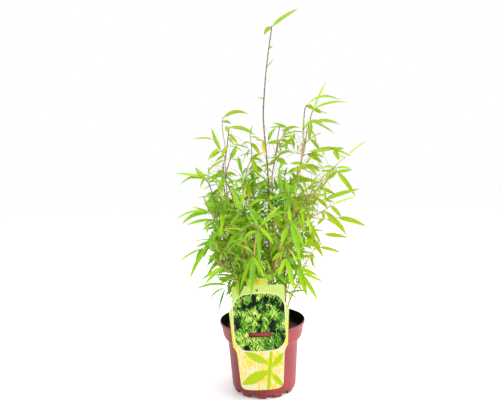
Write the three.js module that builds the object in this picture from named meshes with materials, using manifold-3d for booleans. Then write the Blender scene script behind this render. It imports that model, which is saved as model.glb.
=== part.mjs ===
// A fountain bamboo in its nursery pot: pot, soil, hanging label card, stems and leafy twigs.
// Millimetres, +Z up. The origin is on the ground, in the middle of the pot's standing face.
import * as THREE from 'three';
import { mergeVertices } from 'three/addons/utils/BufferGeometryUtils.js';
import Module from 'manifold-3d';

// Pot: radii and heights.
const potHeight = 127.6;
const lipRadius = 81.5;
const collarRadius = 75.4;
const bodyTopRadius = 67.2;
const bodyTopHeight = 91;
const bodyBottomRadius = 60;
const skirtRadius = 57.8;
const skirtTop = 5;
const wall = 1.3;
const floorUnderside = 7.8;
const floorTop = 9.2;
const padRadius = 13;
const potSides = 48;
const footCount = 12;
const footTurn = -6.3;
const notchWidth = 15;
const notchHeight = 7.2;
const drainCount = 6;
const drainRadius = 4.5;
const drainPlace = 36;

// Soil, and the sockets that the stems stand in.
const soilEdge = 105;
const soilCrown = 108.5;
const soilSides = 36;
const soilClear = 0.5;
const stemDepth = 12;

// Label card: its heights, half widths and place. The slot hangs on the pot's lip.
const cardThickness = 0.6;
const cardBack = -80.7;
const cardMiddle = -6.5;
const cardTilt = 1;
const cardBottom = 28;
const cardTop = 209.6;
const cardTopHalf = 46;
const cardWideHalf = 51.8;
const cardWaistHalf = 41.2;
const cardFootHalf = 37;
const cardCorner = 5;
const tabTop = 222;
const tabHalf = 17.4;
const slotHalf = 20;
const slotLow = 119.5;
const slotHigh = 128.3;
const hangHole = { x: -1.8, z: 201, radius: 2.4 };

// Stems, twigs and leaves.
const gap = 0.3;
const finest = 0.02;
const stemSides = 5;
const stemSteps = 10;
const stemTipShare = 0.45;
const leafyEnd = 30;
const twigSides = 4;
const twigRadius = 0.7;
const twigTipShare = 0.7;
const leafRoot = 1.5;
const rootHalf = 0.24;
const bladeThickness = 0.7;
const bladeShare = 0.14;
const sprayStep = 0.12;
const firstTurn = 12;
const nextTurn = 15;
const sprayWidth = 7;
const sprayArch = 6;
const sprayRise = 6;
const widestBlade = 11;

// The places of stems and leaves are written as they are seen from the eye point: x and z on the
// upright plane through the pot's axis, and y, how far the point really is in front of that plane
// (minus) or behind it (plus). A point is then moved along its line of sight to that y.
const eye = new THREE.Vector3(-16, -813, 382.5);

function seen(x, z, y) {
  const reach = (y - eye.y) / -eye.y;
  return new THREE.Vector3(eye.x + (x - eye.x) * reach, y, eye.z + (z - eye.z) * reach);
}

// Each stem: foot on the soil (x, y), radius at the foot, route (seen x, seen z, y), and its end
// leaves, spurs and twigs. A leaf: its share of the way along the twig, or along the last stretch
// of the stem, then tip (seen x, seen z), width as seen, how much further back the tip is than
// the leaf's base, and how far the blade arches off the straight line. A spray is leaves to the
// left and right of the path's end, outwards first: how many, their length and how far they hang.
const stems = {
  stem_01: {
    foot: [12, 2],
    radius: 1.7,
    route: [[13.5, 150, 2], [14, 200, 2], [16, 240, 0], [18, 290, -2], [19.5, 345, -3], [19.5, 395, -3],
      [17.6, 440, 0], [14.4, 490, 0], [13.7, 520, 0], [17, 560, 0], [21.3, 600, 0], [27.2, 640, 0],
      [34.2, 682, 0], [35, 689, 0]],
    leaves: [[1, 88, 721.5, 6.5, -10, 4], [0.95, 20, 672.5, 8, -8, 5]],
    spurs: [
      { route: [[19.5, 400, -3], [12, 410, 18], [6, 414, 28]], spray: { count: 4, reach: 40, droop: 6 } },
      { route: [[16.2, 468, 0], [11, 470, -5]],
        leaves: [[0.9, -3, 471, 3.5, -4, 0.5], [1, 13, 440, 6.5, -10, 1.5]] },
      { route: [[16.8, 458, 0], [21, 465, 4], [22, 469, 5]],
        leaves: [[1, 38, 493.5, 6.5, -6, 5], [0.6, 46, 471, 5.5, -10, -1]] },
    ],
    twigs: {
      a: { route: [[19.5, 350, -3], [18, 355, -22], [16, 354, -40]],
        leaves: [[1, 56, 364.5, 7, -10, 3], [1, -24, 330, 6, -8, 10], [0.8, 34, 316, 6, 4, 2]] },
      b: { route: [[18, 300, -2], [10, 312, -30], [0, 318, -46]],
        leaves: [[1, -58, 304, 7, -10, 8], [1, -30, 352, 7, 4, 2], [0.5, -12, 282, 8, -8, 2],
          [0.7, 30, 300, 8, -6, 5]] },
    },
  },
  stem_02: {
    foot: [-22, 14],
    radius: 1.2,
    route: [[-30, 170, 18], [-42, 240, 24], [-54, 310, 28], [-61, 370, 30], [-62, 420, 30], [-61, 450, 30],
      [-62.5, 468, 30], [-65.3, 490, 30], [-65.8, 507, 30], [-64, 516.5, 30]],
    leaves: [[0.7, -48, 504, 5.5, -6, 3.5], [1, -14, 520.5, 7, -12, 9]],
    spurs: [
      { route: [[-62, 395, 30], [-64, 404, 46], [-66, 408, 54]], spray: { count: 5, reach: 40, droop: 7 } },
      { route: [[-59, 345, 28], [-68, 360, 44], [-76, 366, 54]], spray: { count: 4, reach: 40, droop: 7 } },
    ],
    twigs: {
      a: { route: [[-50, 285, 26], [-60, 296, 34], [-72, 304, 40]],
        leaves: [[1, -112, 302, 5, -6, 3], [1, -95, 322, 6, 8, 2], [0.6, -85, 280, 6, 8, 3],
          [0.5, -62, 330, 6, 6, 1]] },
    },
  },
  stem_03: {
    foot: [-16, 4],
    radius: 1.6,
    route: [[-26, 170, 4], [-37, 222, 2], [-46, 270, 0], [-54, 310, -2], [-61, 345, -2], [-65, 374, -2],
      [-68, 400, -2], [-66.5, 417, -2], [-64, 432, -2], [-61, 444, -2], [-58, 460, -2], [-55, 482, -2],
      [-52, 498, -4]],
    leaves: [[1, -3, 479, 7.5, -10, 7], [0.55, -36, 461, 6.5, -8, 3], [0.7, -59, 500, 8, -6, -1],
      [0.3, -44, 463.5, 4.5, 6, 0.5]],
    spurs: [
      { route: [[-59, 455, -2], [-56, 462, -7]],
        leaves: [[1, -70, 438.5, 7.5, -8, 3], [0.7, -27, 446, 2.5, 12, 6]] },
      { route: [[-66.8, 415, -2], [-64, 410, -8], [-65, 400, -12]],
        leaves: [[0.15, -70.5, 396, 5, -2, 0], [1, -78, 368, 10, -12, 2], [0.9, -47, 378.5, 4.5, -14, 7],
          [0.6, -49, 400, 3.5, -6, 1.5]] },
    ],
    twigs: {
      a: { route: [[-62, 438, -2], [-66, 446, -6], [-70, 453, -8], [-72.5, 458, -9], [-78, 466, -10],
        [-84, 475, -12]],
        leaves: [[0.45, -87, 496.5, 7.5, -8, -1.5], [0.5, -95.5, 434, 6.5, -8, 4],
          [0.38, -90.5, 437, 4, 10, 1],
          [0.12, -82, 431, 4.5, -6, 1], [1, -123.5, 476, 3.5, -8, 4]] },
      b: { route: [[-65.5, 376, -2], [-75, 381, 2], [-82, 391, 4], [-89, 401, 4]],
        leaves: [[1, -111, 379, 5.5, -6, 9], [1, -122, 408.5, 3.5, 8, 4], [0.55, -108, 376, 3, -10, 4],
          [0.3, -96, 360, 4.5, -12, 2]] },
      c: { route: [[-60, 340, -2], [-66, 346, -20], [-72, 350, -34]],
        leaves: [[1, -99, 341, 7, -8, 4], [1, -84, 325, 8, -10, 3], [0.7, -52, 362, 7, -6, 3],
          [0.6, -78, 368, 6, 8, 2], [0.8, -60, 322, 7, -4, 2]] },
      d: { route: [[-46, 268, 0], [-52, 278, -12], [-58, 286, -20]],
        leaves: [[1, -67, 244, 8, -3, 3], [1, -88, 262, 7, -6, 4], [0.7, -42, 262, 8, -10, 2],
          [0.6, -60, 306, 6, 4, 1]] },
    },
  },
  stem_04: {
    foot: [-12, -6],
    radius: 1.5,
    route: [[-17, 150, -8], [-24, 200, -12], [-34, 262, -16], [-42, 300, -18], [-45.5, 330, -20],
      [-50, 360, -20],
      [-57, 382, -20], [-62.5, 398, -18], [-60, 412, -16], [-56, 426, -14], [-52, 438, -12]],
    leaves: [[1, -38.5, 463.5, 9, -6, -1], [0.9, -31, 426, 2.5, 10, 5]],
    twigs: {
      a: { route: [[-52, 366, -20], [-47, 380, -28], [-43, 393, -32]],
        leaves: [[1, -40, 374, 5, -8, 2], [1, -23, 383, 5.5, -6, 6], [0.95, -25, 407, 3.5, 8, -2],
          [0.5, -61, 384, 5, -4, 2]] },
      b: { route: [[-43, 308, -18], [-40, 322, -44], [-37, 336, -62]],
        leaves: [[1, -51, 376, 10, -8, 1], [1, -22, 386, 7, -6, 2], [0.6, -72, 322, 9, -10, 4],
          [0.8, -58, 305, 7, -8, 3], [0.5, -24, 300, 8, -12, 3]] },
      c: { route: [[-34, 258, -16], [-38, 280, -56], [-45, 292, -80]],
        leaves: [[1, -67, 261, 8, -10, 2], [0.9, -20, 306, 8, -4, 5], [0.7, -47, 232, 9, -10, 2],
          [0.8, -72, 300, 7, -2, 4]] },
    },
  },
  stem_05: {
    foot: [-27, -2],
    radius: 1.5,
    route: [[-33, 170, -10], [-44, 222, -16], [-56, 262, -22], [-70, 305, -26], [-80, 335, -28],
      [-86, 360, -30],
      [-90, 373, -30], [-96, 391, -30], [-103, 401, -33]],
    leaves: [[1, -121, 422.5, 9, -6, -1], [1, -162, 411.5, 4, -12, 1.5], [0.95, -128, 400.5, 3.5, 12, 1],
      [1, -152, 386, 4.5, -8, 9], [0.75, -72, 393, 3, -14, -1]],
    spurs: [
      { route: [[-86, 358, -30], [-90, 364, -36], [-92, 371, -38]],
        leaves: [[1, -96, 359, 4.5, -6, 1], [0.5, -119, 363, 2.5, 8, 1], [0.3, -70, 372, 4, -8, 3]] },
    ],
    twigs: {
      a: { route: [[-80, 335, -28], [-88, 333, -34], [-97, 333, -38]],
        leaves: [[1, -162, 321, 5.5, -12, 8], [1, -151, 311, 8, -6, 8], [1, -131, 346, 4.5, 10, 1],
          [0.7, -107, 367, 5, 8, -1], [0.4, -106, 352, 6, -10, 2]] },
      b: { route: [[-73, 313, -27], [-84, 317, -36], [-97, 320, -42]],
        leaves: [[1, -141, 310, 6, -8, 4], [1, -106, 309, 5.5, -4, 0], [0.7, -122, 318, 5, 8, 3],
          [0.5, -110, 301, 5, -10, 2]] },
      c: { route: [[-56, 262, -22], [-66, 272, -40], [-76, 278, -52]],
        leaves: [[1, -134, 278, 2.5, 10, 5], [0.8, -100, 290, 6, -8, 3], [0.6, -80, 255, 7, -8, 2],
          [1, -88, 305, 6, 4, 1]] },
    },
  },
  stem_06: {
    foot: [-8, 10],
    radius: 1.4,
    route: [[-13, 160, 20], [-20, 220, 30], [-27, 280, 36], [-31, 330, 38], [-31, 355, 38],
      [-29.4, 378, 38],
      [-26.5, 394, 38], [-22.4, 407, 38], [-19, 420, 38], [-13.4, 432, 38], [-10.5, 447, 38],
      [-11.5, 464, 38],
      [-13, 480, 38]],
    leaves: [[0.45, -30, 458, 3.5, -8, 7], [0.5, 6, 438, 7.5, -10, 4], [1, -8, 500, 3, 8, 1],
      [0.9, 8, 470, 3, 10, 4]],
    spurs: [
      { route: [[-31, 345, 38], [-33, 355, 60], [-35, 359, 74]], spray: { count: 5, reach: 48, droop: 8 } },
      { route: [[-13.4, 432, 38], [-12, 438, 30]],
        leaves: [[1, 2, 394, 9, -14, 3], [0.8, 9, 431, 6, -4, 3], [0.6, 12, 446, 5, 8, 3]] },
    ],
    twigs: {
      a: { route: [[-29.5, 378, 38], [-24, 384, 28], [-15, 393, 16]],
        leaves: [[1, -19, 352, 8, -18, 1], [1, -10, 360, 6, 8, 0.5], [0.7, 2, 378, 5, 8, 3],
          [1, 6, 399, 5, 4, 2]] },
      b: { route: [[-28, 300, 36], [-20, 312, 26], [-10, 322, 20]],
        leaves: [[1, 12, 345, 8, -8, 4], [1, -2, 300, 8, -8, 3], [0.6, -40, 340, 8, 4, 3],
          [0.5, -46, 300, 8, 6, 4],
          [0.8, 16, 322, 7, 6, 4]] },
    },
  },
  stem_07: {
    foot: [20, 12],
    radius: 1.4,
    route: [[22, 160, 22], [24.5, 220, 32], [26, 290, 38], [26.5, 350, 42], [27, 396, 42], [28.8, 411, 42],
      [33, 427, 42], [37, 447, 42], [40, 472, 42], [45, 497, 42]],
    leaves: [],
    spurs: [
      { route: [[26, 345, 42], [20, 356, 64], [16, 360, 76]], spray: { count: 5, reach: 48, droop: 8 } },
    ],
    twigs: {
      a: { route: [[37, 447, 42], [41, 459, 34], [45, 470, 28], [50, 477, 24]],
        leaves: [[0.75, 70, 458.5, 7, -8, 3], [1, 85, 491, 6.5, -10, 10], [1, 97, 480.5, 3.5, 4, 7],
          [0.9, 75, 476, 3, -12, 2], [0.35, 59, 459, 5, -6, -1.5], [0.7, 22, 462.5, 6, -4, 0]] },
      b: { route: [[30, 416, 42], [33, 428, 30], [37, 434, 24]],
        leaves: [[1, 56, 420, 10, -12, 5], [0.75, 75, 442, 5.5, -8, 11], [0.5, 4, 418, 5.5, -6, 2],
          [0.8, 60, 421, 5, 8, 3]] },
      c: { route: [[27, 384, 42], [35, 374, 10], [45, 366, -16]],
        leaves: [[1, 42, 416, 12, -6, 1], [0.8, 58, 392, 8, -10, 2], [0.6, 30, 398, 6, 6, 1],
          [0.5, 8, 384, 6, 4, 3],
          [1, 62, 340, 9, -8, 3]] },
      d: { route: [[26, 300, 38], [34, 312, 20], [42, 322, 6]],
        leaves: [[1, 60, 352, 9, -8, 3], [0.8, 24, 340, 8, 6, 3], [0.6, 64, 308, 8, -8, 4],
          [1, 50, 290, 9, -12, 2]] },
    },
  },
  stem_08: {
    foot: [35, -4],
    radius: 1.7,
    route: [[44, 150, -6], [46, 176, -8], [49, 200, -8], [55, 221, -8], [60, 241, -8], [62, 270, -8],
      [63.5, 300, -6],
      [65, 335, -4], [69, 365, -2], [75, 395, 0], [82, 420, 2], [87, 442, 4], [89, 461, 4], [89.5, 485, 4],
      [92, 510, 4], [95, 530, 4], [98, 535, 4]],
    leaves: [[0.95, 113, 523.5, 8, -8, 4], [1, 165, 541, 3.5, -6, 13]],
    spurs: [
      { route: [[89.6, 485, 4], [92, 491, -2]],
        leaves: [[1, 131, 496, 7, -10, 11], [0.6, 91.5, 513, 4, -6, 0]] },
    ],
    twigs: {
      a: { route: [[83.5, 425, 2], [90, 421, -6], [96, 420, -10]],
        leaves: [[1, 120, 405.5, 7, -10, 5], [0.7, 115, 397, 6, 6, 4], [1, 62, 403, 8, -8, 4],
          [0.25, 61, 423, 6, -6, 2],
          [0.8, 105, 436, 5, 8, 2]] },
      b: { route: [[66, 345, -4], [64, 356, -24], [60, 364, -40]],
        leaves: [[1, 52, 392, 9, -6, 1], [1, 76, 388, 9, -8, 2], [0.8, 48, 330, 11, -12, 2],
          [0.7, 78, 330, 10, -10, 3],
          [0.5, 88, 352, 8, -6, 3]] },
      c: { route: [[70, 372, -2], [74, 384, 10], [76, 390, 16]],
        leaves: [[1, 100, 388, 8, -8, 4], [1, 62, 410, 7, 4, 2], [0.7, 88, 366, 7, -8, 3],
          [0.6, 50, 380, 7, 8, 3]] },
    },
  },
  stem_09: {
    foot: [28, 8],
    radius: 1.5,
    route: [[36, 160, 14], [45, 210, 20], [53, 265, 26], [61, 315, 30], [71, 360, 32], [80, 400, 32],
      [86, 432, 32],
      [91, 452, 32], [94, 470, 32], [98, 486, 32], [103, 503, 32], [107, 518, 32], [112, 528, 32]],
    leaves: [[1, 138, 582, 4, -6, 0], [1, 178, 537.5, 4.5, -10, 7], [0.97, 126, 518, 7.5, -8, 1.5],
      [0.95, 139, 516, 2.5, 10, 1]],
    spurs: [
      { route: [[80, 402, 32], [84, 412, 52], [88, 416, 62]], spray: { count: 5, reach: 44, droop: 7 } },
      { route: [[68, 345, 31], [80, 353, 46], [92, 357, 54]], spray: { count: 5, reach: 42, droop: 8 } },
      { route: [[93, 461, 32], [99, 467, 24], [104, 471, 20]],
        leaves: [[1, 122, 444.5, 6.5, -10, 3], [0.8, 127, 482, 3, 10, 1]] },
      { route: [[101, 497, 32], [106, 500, 24], [110, 502, 18]],
        leaves: [[1, 151, 477, 4, -10, 4], [1, 162, 495, 6, -6, 7], [0.6, 100, 462.5, 7.5, -12, 1]] },
    ],
    twigs: {
      a: { route: [[87, 437, 32], [97, 441, 20], [110, 443, 10], [124, 446, 4], [150, 448, 0]],
        leaves: [[0.52, 98, 445.5, 6, -12, 1], [1, 168, 449, 6, -4, 1], [0.97, 157, 426.5, 10, -10, 1],
          [1, 181, 433.5, 4.5, 6, 3], [0.2, 125, 421, 9.5, -10, 4], [0.3, 130, 431, 5, 6, 4],
          [0.7, 126, 436, 3.5, -8, 1]] },
      b: { route: [[62, 320, 30], [70, 330, 16], [76, 336, 4]],
        leaves: [[1, 104, 331, 8, -8, 5], [0.8, 92, 360, 7, 6, 2], [0.6, 52, 344, 8, 8, 3],
          [1, 84, 300, 9, -8, 3]] },
    },
  },
  stem_10: {
    foot: [31, -13],
    radius: 1.6,
    route: [[41, 180, -20], [47, 225, -26], [56, 262, -32], [66, 290, -36], [76, 310, -38], [84, 326, -40],
      [94, 346, -40], [105, 363, -40], [122, 383, -40], [141, 406, -40], [157, 423, -40], [172, 433.5, -40],
      [177, 438, -40]],
    leaves: [[1, 212, 463.5, 3.5, 4, 1], [0.7, 150, 436, 3, -8, 1]],
    spurs: [
      { route: [[136, 399.5, -40], [139, 400, -48]],
        leaves: [[1, 120, 394, 4.5, -8, 2.5], [0.8, 122, 374, 3, 6, -1]] },
      { route: [[115, 374, -40], [117, 376, -46]],
        leaves: [[1, 149, 361, 6.5, -8, 1], [0.7, 129, 381, 7, 6, 1]] },
    ],
    twigs: {
      a: { route: [[148, 415.5, -40], [151, 410, -46], [153, 404, -50]],
        leaves: [[0.2, 121, 412.5, 4.5, -6, 5], [0.35, 182, 408.5, 4.5, 8, 5], [1, 183, 408, 6.5, -8, 0],
          [1, 187, 356, 9, -14, 3], [0.8, 131, 388, 8.5, 11, 0], [0.6, 120, 408, 5, 6, -1]] },
      b: { route: [[105, 363, -40], [114, 352, -50], [127, 352, -56]],
        leaves: [[1, 196, 371, 8.5, -16, 3], [1, 146, 345, 4.5, 6, 2], [0.2, 140, 364, 3, 12, 0],
          [0.55, 133, 333, 7.5, -14, 4]] },
      c: { route: [[66, 290, -36], [70, 302, -52], [74, 312, -62]],
        leaves: [[1, 110, 325, 8, -8, 4], [0.7, 96, 345, 7, -4, 1], [0.5, 48, 318, 9, -8, 3],
          [0.8, 92, 296, 7, 8, 3]] },
    },
  },
  stem_11: {
    foot: [22, -18],
    radius: 1.5,
    route: [[38, 165, -30], [45, 205, -38], [53, 245, -46], [62, 277, -54], [72, 298, -58],
      [83.5, 311, -62],
      [98.5, 318, -64], [119.5, 327.5, -66], [136, 338, -66], [139, 341, -66]],
    leaves: [[1, 158.5, 315, 7.5, -10, 3], [1, 187, 355, 2.5, 8, 1]],
    spurs: [
      { route: [[119.5, 327.5, -66], [127, 331, -72]],
        leaves: [[1, 169, 281, 9, -14, 3], [0.9, 165, 294, 6.5, 8, 2], [0.5, 124, 311, 6.5, -8, 2.5]] },
      { route: [[84, 311.5, -62], [92, 313, -70], [96, 312, -73]],
        leaves: [[1, 119, 267, 6.5, -10, -1], [0.7, 108, 290, 5, 8, 1]] },
    ],
    twigs: {
      a: { route: [[98.5, 318, -64], [125, 314.5, -58], [153, 316.5, -56]],
        leaves: [[1, 206, 297.5, 9.5, -10, 5], [0.45, 112, 303, 6.5, -8, 1], [0.6, 145, 303, 4, 6, 2]] },
      b: { route: [[72, 298, -58], [88, 291, -66], [106, 287, -70], [126, 285, -72]],
        leaves: [[0.3, 106, 264.5, 9, -4, 1], [1, 171, 277, 7.5, -8, 2], [0.35, 122, 240, 11, -16, 3],
          [0.15, 125, 291, 4.5, 8, 2]] },
    },
  },
  stem_12: {
    foot: [45, -22],
    radius: 1.3,
    route: [[50, 146, -24], [52, 155, -27], [57, 166, -32], [63, 178, -38], [69, 190, -44], [76, 205, -50],
      [84, 222, -56], [92, 238, -62], [98, 250, -64], [106, 257, -66], [115, 261.5, -68]],
    leaves: [[1, 156, 248.5, 6.5, -8, 2.5], [0.5, 122, 270, 4, 8, 2]],
    spurs: [
      { route: [[90, 234, -60], [84, 243, -66]],
        leaves: [[1, 96, 247, 3, 6, 0], [0.8, 60, 236, 6, -4, 3]] },
    ],
    twigs: {
      a: { route: [[76, 205, -50], [76, 213, -62], [72, 222, -70]],
        leaves: [[0.5, 109, 156, 9, -14, 2], [0.5, 121.5, 192, 6.5, 8, 3], [1, 88, 164, 11, -16, 2],
          [1, 111.5, 204.5, 7.5, -4, 3], [1, 99, 224, 3.5, 10, 2]] },
    },
  },
  stem_13: {
    foot: [-19, -17],
    radius: 1.2,
    route: [[-24, 160, -36], [-31, 195, -50], [-42, 222, -60], [-54, 231, -64], [-63, 240, -66],
      [-80, 260, -68],
      [-90, 273, -68], [-93, 279, -68]],
    leaves: [[0.9, -138, 203, 9, -12, 6], [1, -124, 267.5, 6.5, -6, 3]],
    twigs: {
      a: { route: [[-88, 270, -68], [-102, 268, -64], [-116, 264, -62]],
        leaves: [[1, -158, 239.5, 4.5, -8, 3], [0.9, -126, 236.5, 5, -6, 2], [0.8, -117, 249, 3.5, 8, 1]] },
      b: { route: [[-63, 240, -66], [-72, 250, -58], [-78, 255, -52]],
        leaves: [[1, -104, 230, 8, -8, 4], [1, -98, 262, 7, 6, 3], [0.5, -62, 262, 7, -6, 1],
          [0.7, -50, 250, 7, -8, 3]] },
    },
  },
  stem_14: {
    foot: [-28, -12],
    radius: 1.2,
    route: [[-34, 165, -34], [-42, 195, -52], [-52, 214, -66], [-62, 221, -76], [-72, 227, -84],
      [-75, 230, -86]],
    leaves: [[1, -109.5, 195, 8, -10, 2], [0.9, -118.5, 202, 4.5, 8, 2], [0.6, -88, 222, 8, 4, 3],
      [0.4, -70, 246, 7, 4, 2]],
    twigs: {
      a: { route: [[-46, 202, -57], [-56, 203, -66], [-62, 196, -72], [-70, 186, -76]],
        leaves: [[0.35, -86, 208, 6, -6, 2], [0.45, -87, 203, 4.5, 8, 1], [0.8, -130, 184, 5.5, -8, 7],
          [1, -102, 159.5, 3.5, -6, 7], [1, -86, 135, 4, -4, 2], [0.7, -61, 172, 6, 6, 0],
          [0.25, -66, 171, 4.5, -10, 2]] },
    },
  },
  stem_15: {
    foot: [-6, -20],
    radius: 1.4,
    route: [[-8, 160, -40], [-11, 200, -62], [-12, 240, -84], [-9, 275, -100], [-3, 298, -110],
      [2, 306, -112]],
    leaves: [[0.8, -3, 217, 12, -8, 1], [1, -30, 278, 8, 4, 6], [0.9, 26, 268, 9, -6, 4],
      [1, 24, 318, 7, 4, 4],
      [1, -18, 334, 8, 4, 1]],
    spurs: [
      { route: [[-11, 205, -64], [-4, 212, -80]],
        leaves: [[1, 22, 200, 8, -6, 4], [0.8, -30, 200, 7, 3, 3], [1, 4, 236, 7, 4, 1]] },
    ],
    twigs: {
      a: { route: [[-12, 243, -85], [-16, 247, -94]],
        leaves: [[1, -21, 167, 10, -12, 1], [0.8, -41, 183, 7, -6, 3], [0.8, 6, 205, 8, -2, 3],
          [0.5, -36, 222, 8, 6, 4]] },
    },
  },
  stem_16: {
    foot: [10, -20],
    radius: 1.4,
    route: [[14, 160, -36], [22, 205, -56], [34, 250, -78], [46, 285, -94], [56, 305, -104],
      [62, 312, -108]],
    leaves: [[1, 77, 231.5, 13, -10, 2], [1, 84, 262, 9, 8, 3], [0.6, 40, 262, 9, -4, 3],
      [0.5, 88, 308, 8, -2, 5],
      [1, 58, 344, 8, 4, 1]],
    spurs: [
      { route: [[22, 205, -56], [30, 214, -72]],
        leaves: [[1, 48, 192, 9, -8, 3], [1, 10, 192, 8, -4, 3], [0.8, 44, 228, 7, 4, 2]] },
    ],
    twigs: {
      a: { route: [[36, 254, -80], [46, 250, -92], [50, 240, -98]],
        leaves: [[1, 33, 207, 8, -8, 1], [1, 62, 179, 12, -8, 2], [0.6, 64, 226, 8, 10, 3],
          [0.4, 22, 236, 8, -4, 3]] },
    },
  },
  stem_17: {
    foot: [2, 22],
    radius: 1.5,
    route: [[0, 170, 50], [-4, 240, 80], [-6, 300, 104], [-8, 350, 120], [-10, 390, 128]],
    spray: { count: 5, reach: 52, droop: 7 },
    spurs: [
      { route: [[-6, 310, 106], [-18, 318, 118], [-30, 322, 130]],
        spray: { count: 6, reach: 46, droop: 8 } },
      { route: [[-8, 350, 120], [6, 358, 126], [16, 361, 134]], spray: { count: 5, reach: 42, droop: 6 } },
      { route: [[-2, 205, 66], [-12, 212, 84], [-16, 216, 98]], spray: { count: 5, reach: 46, droop: 9 } },
    ],
    twigs: {
      a: { route: [[-4, 240, 80], [8, 250, 96], [18, 256, 108]], spray: { count: 6, reach: 50, droop: 9 } },
    },
  },
  stem_18: {
    foot: [14, 24],
    radius: 1.5,
    route: [[26, 180, 52], [42, 250, 80], [56, 310, 100], [66, 360, 112], [70, 395, 116]],
    spray: { count: 5, reach: 52, droop: 7 },
    spurs: [
      { route: [[56, 310, 100], [46, 322, 112], [38, 328, 124]], spray: { count: 5, reach: 46, droop: 8 } },
      { route: [[64, 345, 108], [78, 354, 106], [90, 358, 104]], spray: { count: 5, reach: 46, droop: 7 } },
      { route: [[34, 214, 66], [44, 220, 86], [48, 224, 100]], spray: { count: 5, reach: 46, droop: 9 } },
    ],
    twigs: {
      a: { route: [[42, 250, 80], [60, 262, 88], [76, 270, 94]], spray: { count: 6, reach: 50, droop: 9 } },
    },
  },
  stem_19: {
    foot: [-12, 25],
    radius: 1.4,
    route: [[-24, 180, 50], [-42, 250, 76], [-58, 310, 94], [-66, 350, 100]],
    spray: { count: 6, reach: 50, droop: 7 },
    spurs: [
      { route: [[-42, 250, 76], [-58, 258, 88], [-70, 262, 98]], spray: { count: 6, reach: 48, droop: 9 } },
      { route: [[-52, 288, 88], [-48, 298, 106], [-44, 302, 118]],
        spray: { count: 5, reach: 46, droop: 8 } },
      { route: [[-30, 205, 60], [-42, 211, 76], [-50, 214, 86]], spray: { count: 5, reach: 44, droop: 9 } },
    ],
  },
};

const wasm = await Module();
wasm.setup();

function solidFromArrays(positions, faces) {
  return new wasm.Manifold(new wasm.Mesh({
    numProp: 3,
    vertProperties: new Float32Array(positions),
    triVerts: new Uint32Array(faces),
  }));
}

function solidFromGeometry(geometry) {
  const bare = geometry.index ? geometry.toNonIndexed() : geometry.clone();
  bare.deleteAttribute('normal');
  bare.deleteAttribute('uv');
  const merged = mergeVertices(bare, 1e-4);
  return solidFromArrays(merged.attributes.position.array, merged.index.array);
}

function geometryFromSolid(solid) {
  const mesh = solid.getMesh();
  const geometry = new THREE.BufferGeometry();
  geometry.setAttribute('position', new THREE.BufferAttribute(mesh.vertProperties.slice(), 3));
  geometry.setIndex(new THREE.BufferAttribute(mesh.triVerts.slice(), 1));
  return geometry;
}

function lathe(section, sides) {
  const points = section.map(([radius, height]) => new THREE.Vector2(radius, height));
  const geometry = new THREE.LatheGeometry(points, sides);
  geometry.rotateX(Math.PI / 2);
  return solidFromGeometry(geometry);
}

// Skirt, wall, collar, rolled lip and floor are one section, from the axis underneath round the
// outside to the axis inside. The middle of the floor reaches the ground, as the feet do.
function makePot() {
  const section = [
    [0, 0],
    [padRadius, 0],
    [padRadius + 1, floorUnderside],
    [skirtRadius - wall, floorUnderside],
    [skirtRadius - wall, 0],
    [skirtRadius, 0],
    [skirtRadius, skirtTop],
    [bodyBottomRadius, skirtTop + 0.6],
    [bodyTopRadius, bodyTopHeight],
    [collarRadius - 1.8, 97.6],
    [collarRadius, 101.5],
    [78.3, 118.4],
    [79, 119.8],
    [80.6, 121.6],
    [lipRadius, 125.2],
    [lipRadius - 0.5, potHeight - 0.4],
    [lipRadius - 1.3, potHeight],
    [lipRadius - 2.1, potHeight - 0.6],
    [78.6, 121.8],
    [76.9, 118],
    [collarRadius - wall, 102.5],
    [72, 98],
    [bodyTopRadius - wall, bodyTopHeight + 1],
    [bodyBottomRadius - wall, floorTop],
    [0, floorTop],
  ];
  let pot = lathe(section, potSides);
  const notch = new THREE.BoxGeometry(notchWidth, 12, 2 * notchHeight);
  for (let i = 0; i < footCount; i += 1) {
    const cutter = notch.clone();
    cutter.translate(0, -skirtRadius, 0);
    cutter.rotateZ(THREE.MathUtils.degToRad(footTurn + (i + 0.5) * 360 / footCount));
    pot = pot.subtract(solidFromGeometry(cutter));
  }
  for (let i = 0; i < drainCount; i += 1) {
    const turn = (i + 0.5) * 2 * Math.PI / drainCount;
    const drain = new THREE.CylinderGeometry(drainRadius, drainRadius, 6, 12);
    drain.rotateX(Math.PI / 2);
    drain.translate(drainPlace * Math.cos(turn), drainPlace * Math.sin(turn), floorUnderside + 0.7);
    pot = pot.subtract(solidFromGeometry(drain));
  }
  return pot;
}

// The soil fills the pot up to a low crown, with a socket for each stem.
function makeSoil(sockets) {
  const section = [
    [0, floorTop + soilClear],
    [bodyBottomRadius - wall - soilClear, floorTop + soilClear],
    [bodyTopRadius - wall - soilClear, bodyTopHeight + 1],
    [72 - soilClear, 98.6],
    [collarRadius - wall - soilClear, 103],
    [collarRadius - wall - soilClear, soilEdge],
    [52, soilEdge + 2],
    [0, soilCrown],
  ];
  return sockets.reduce((soil, socket) => soil.subtract(socket), lathe(section, soilSides));
}

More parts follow.
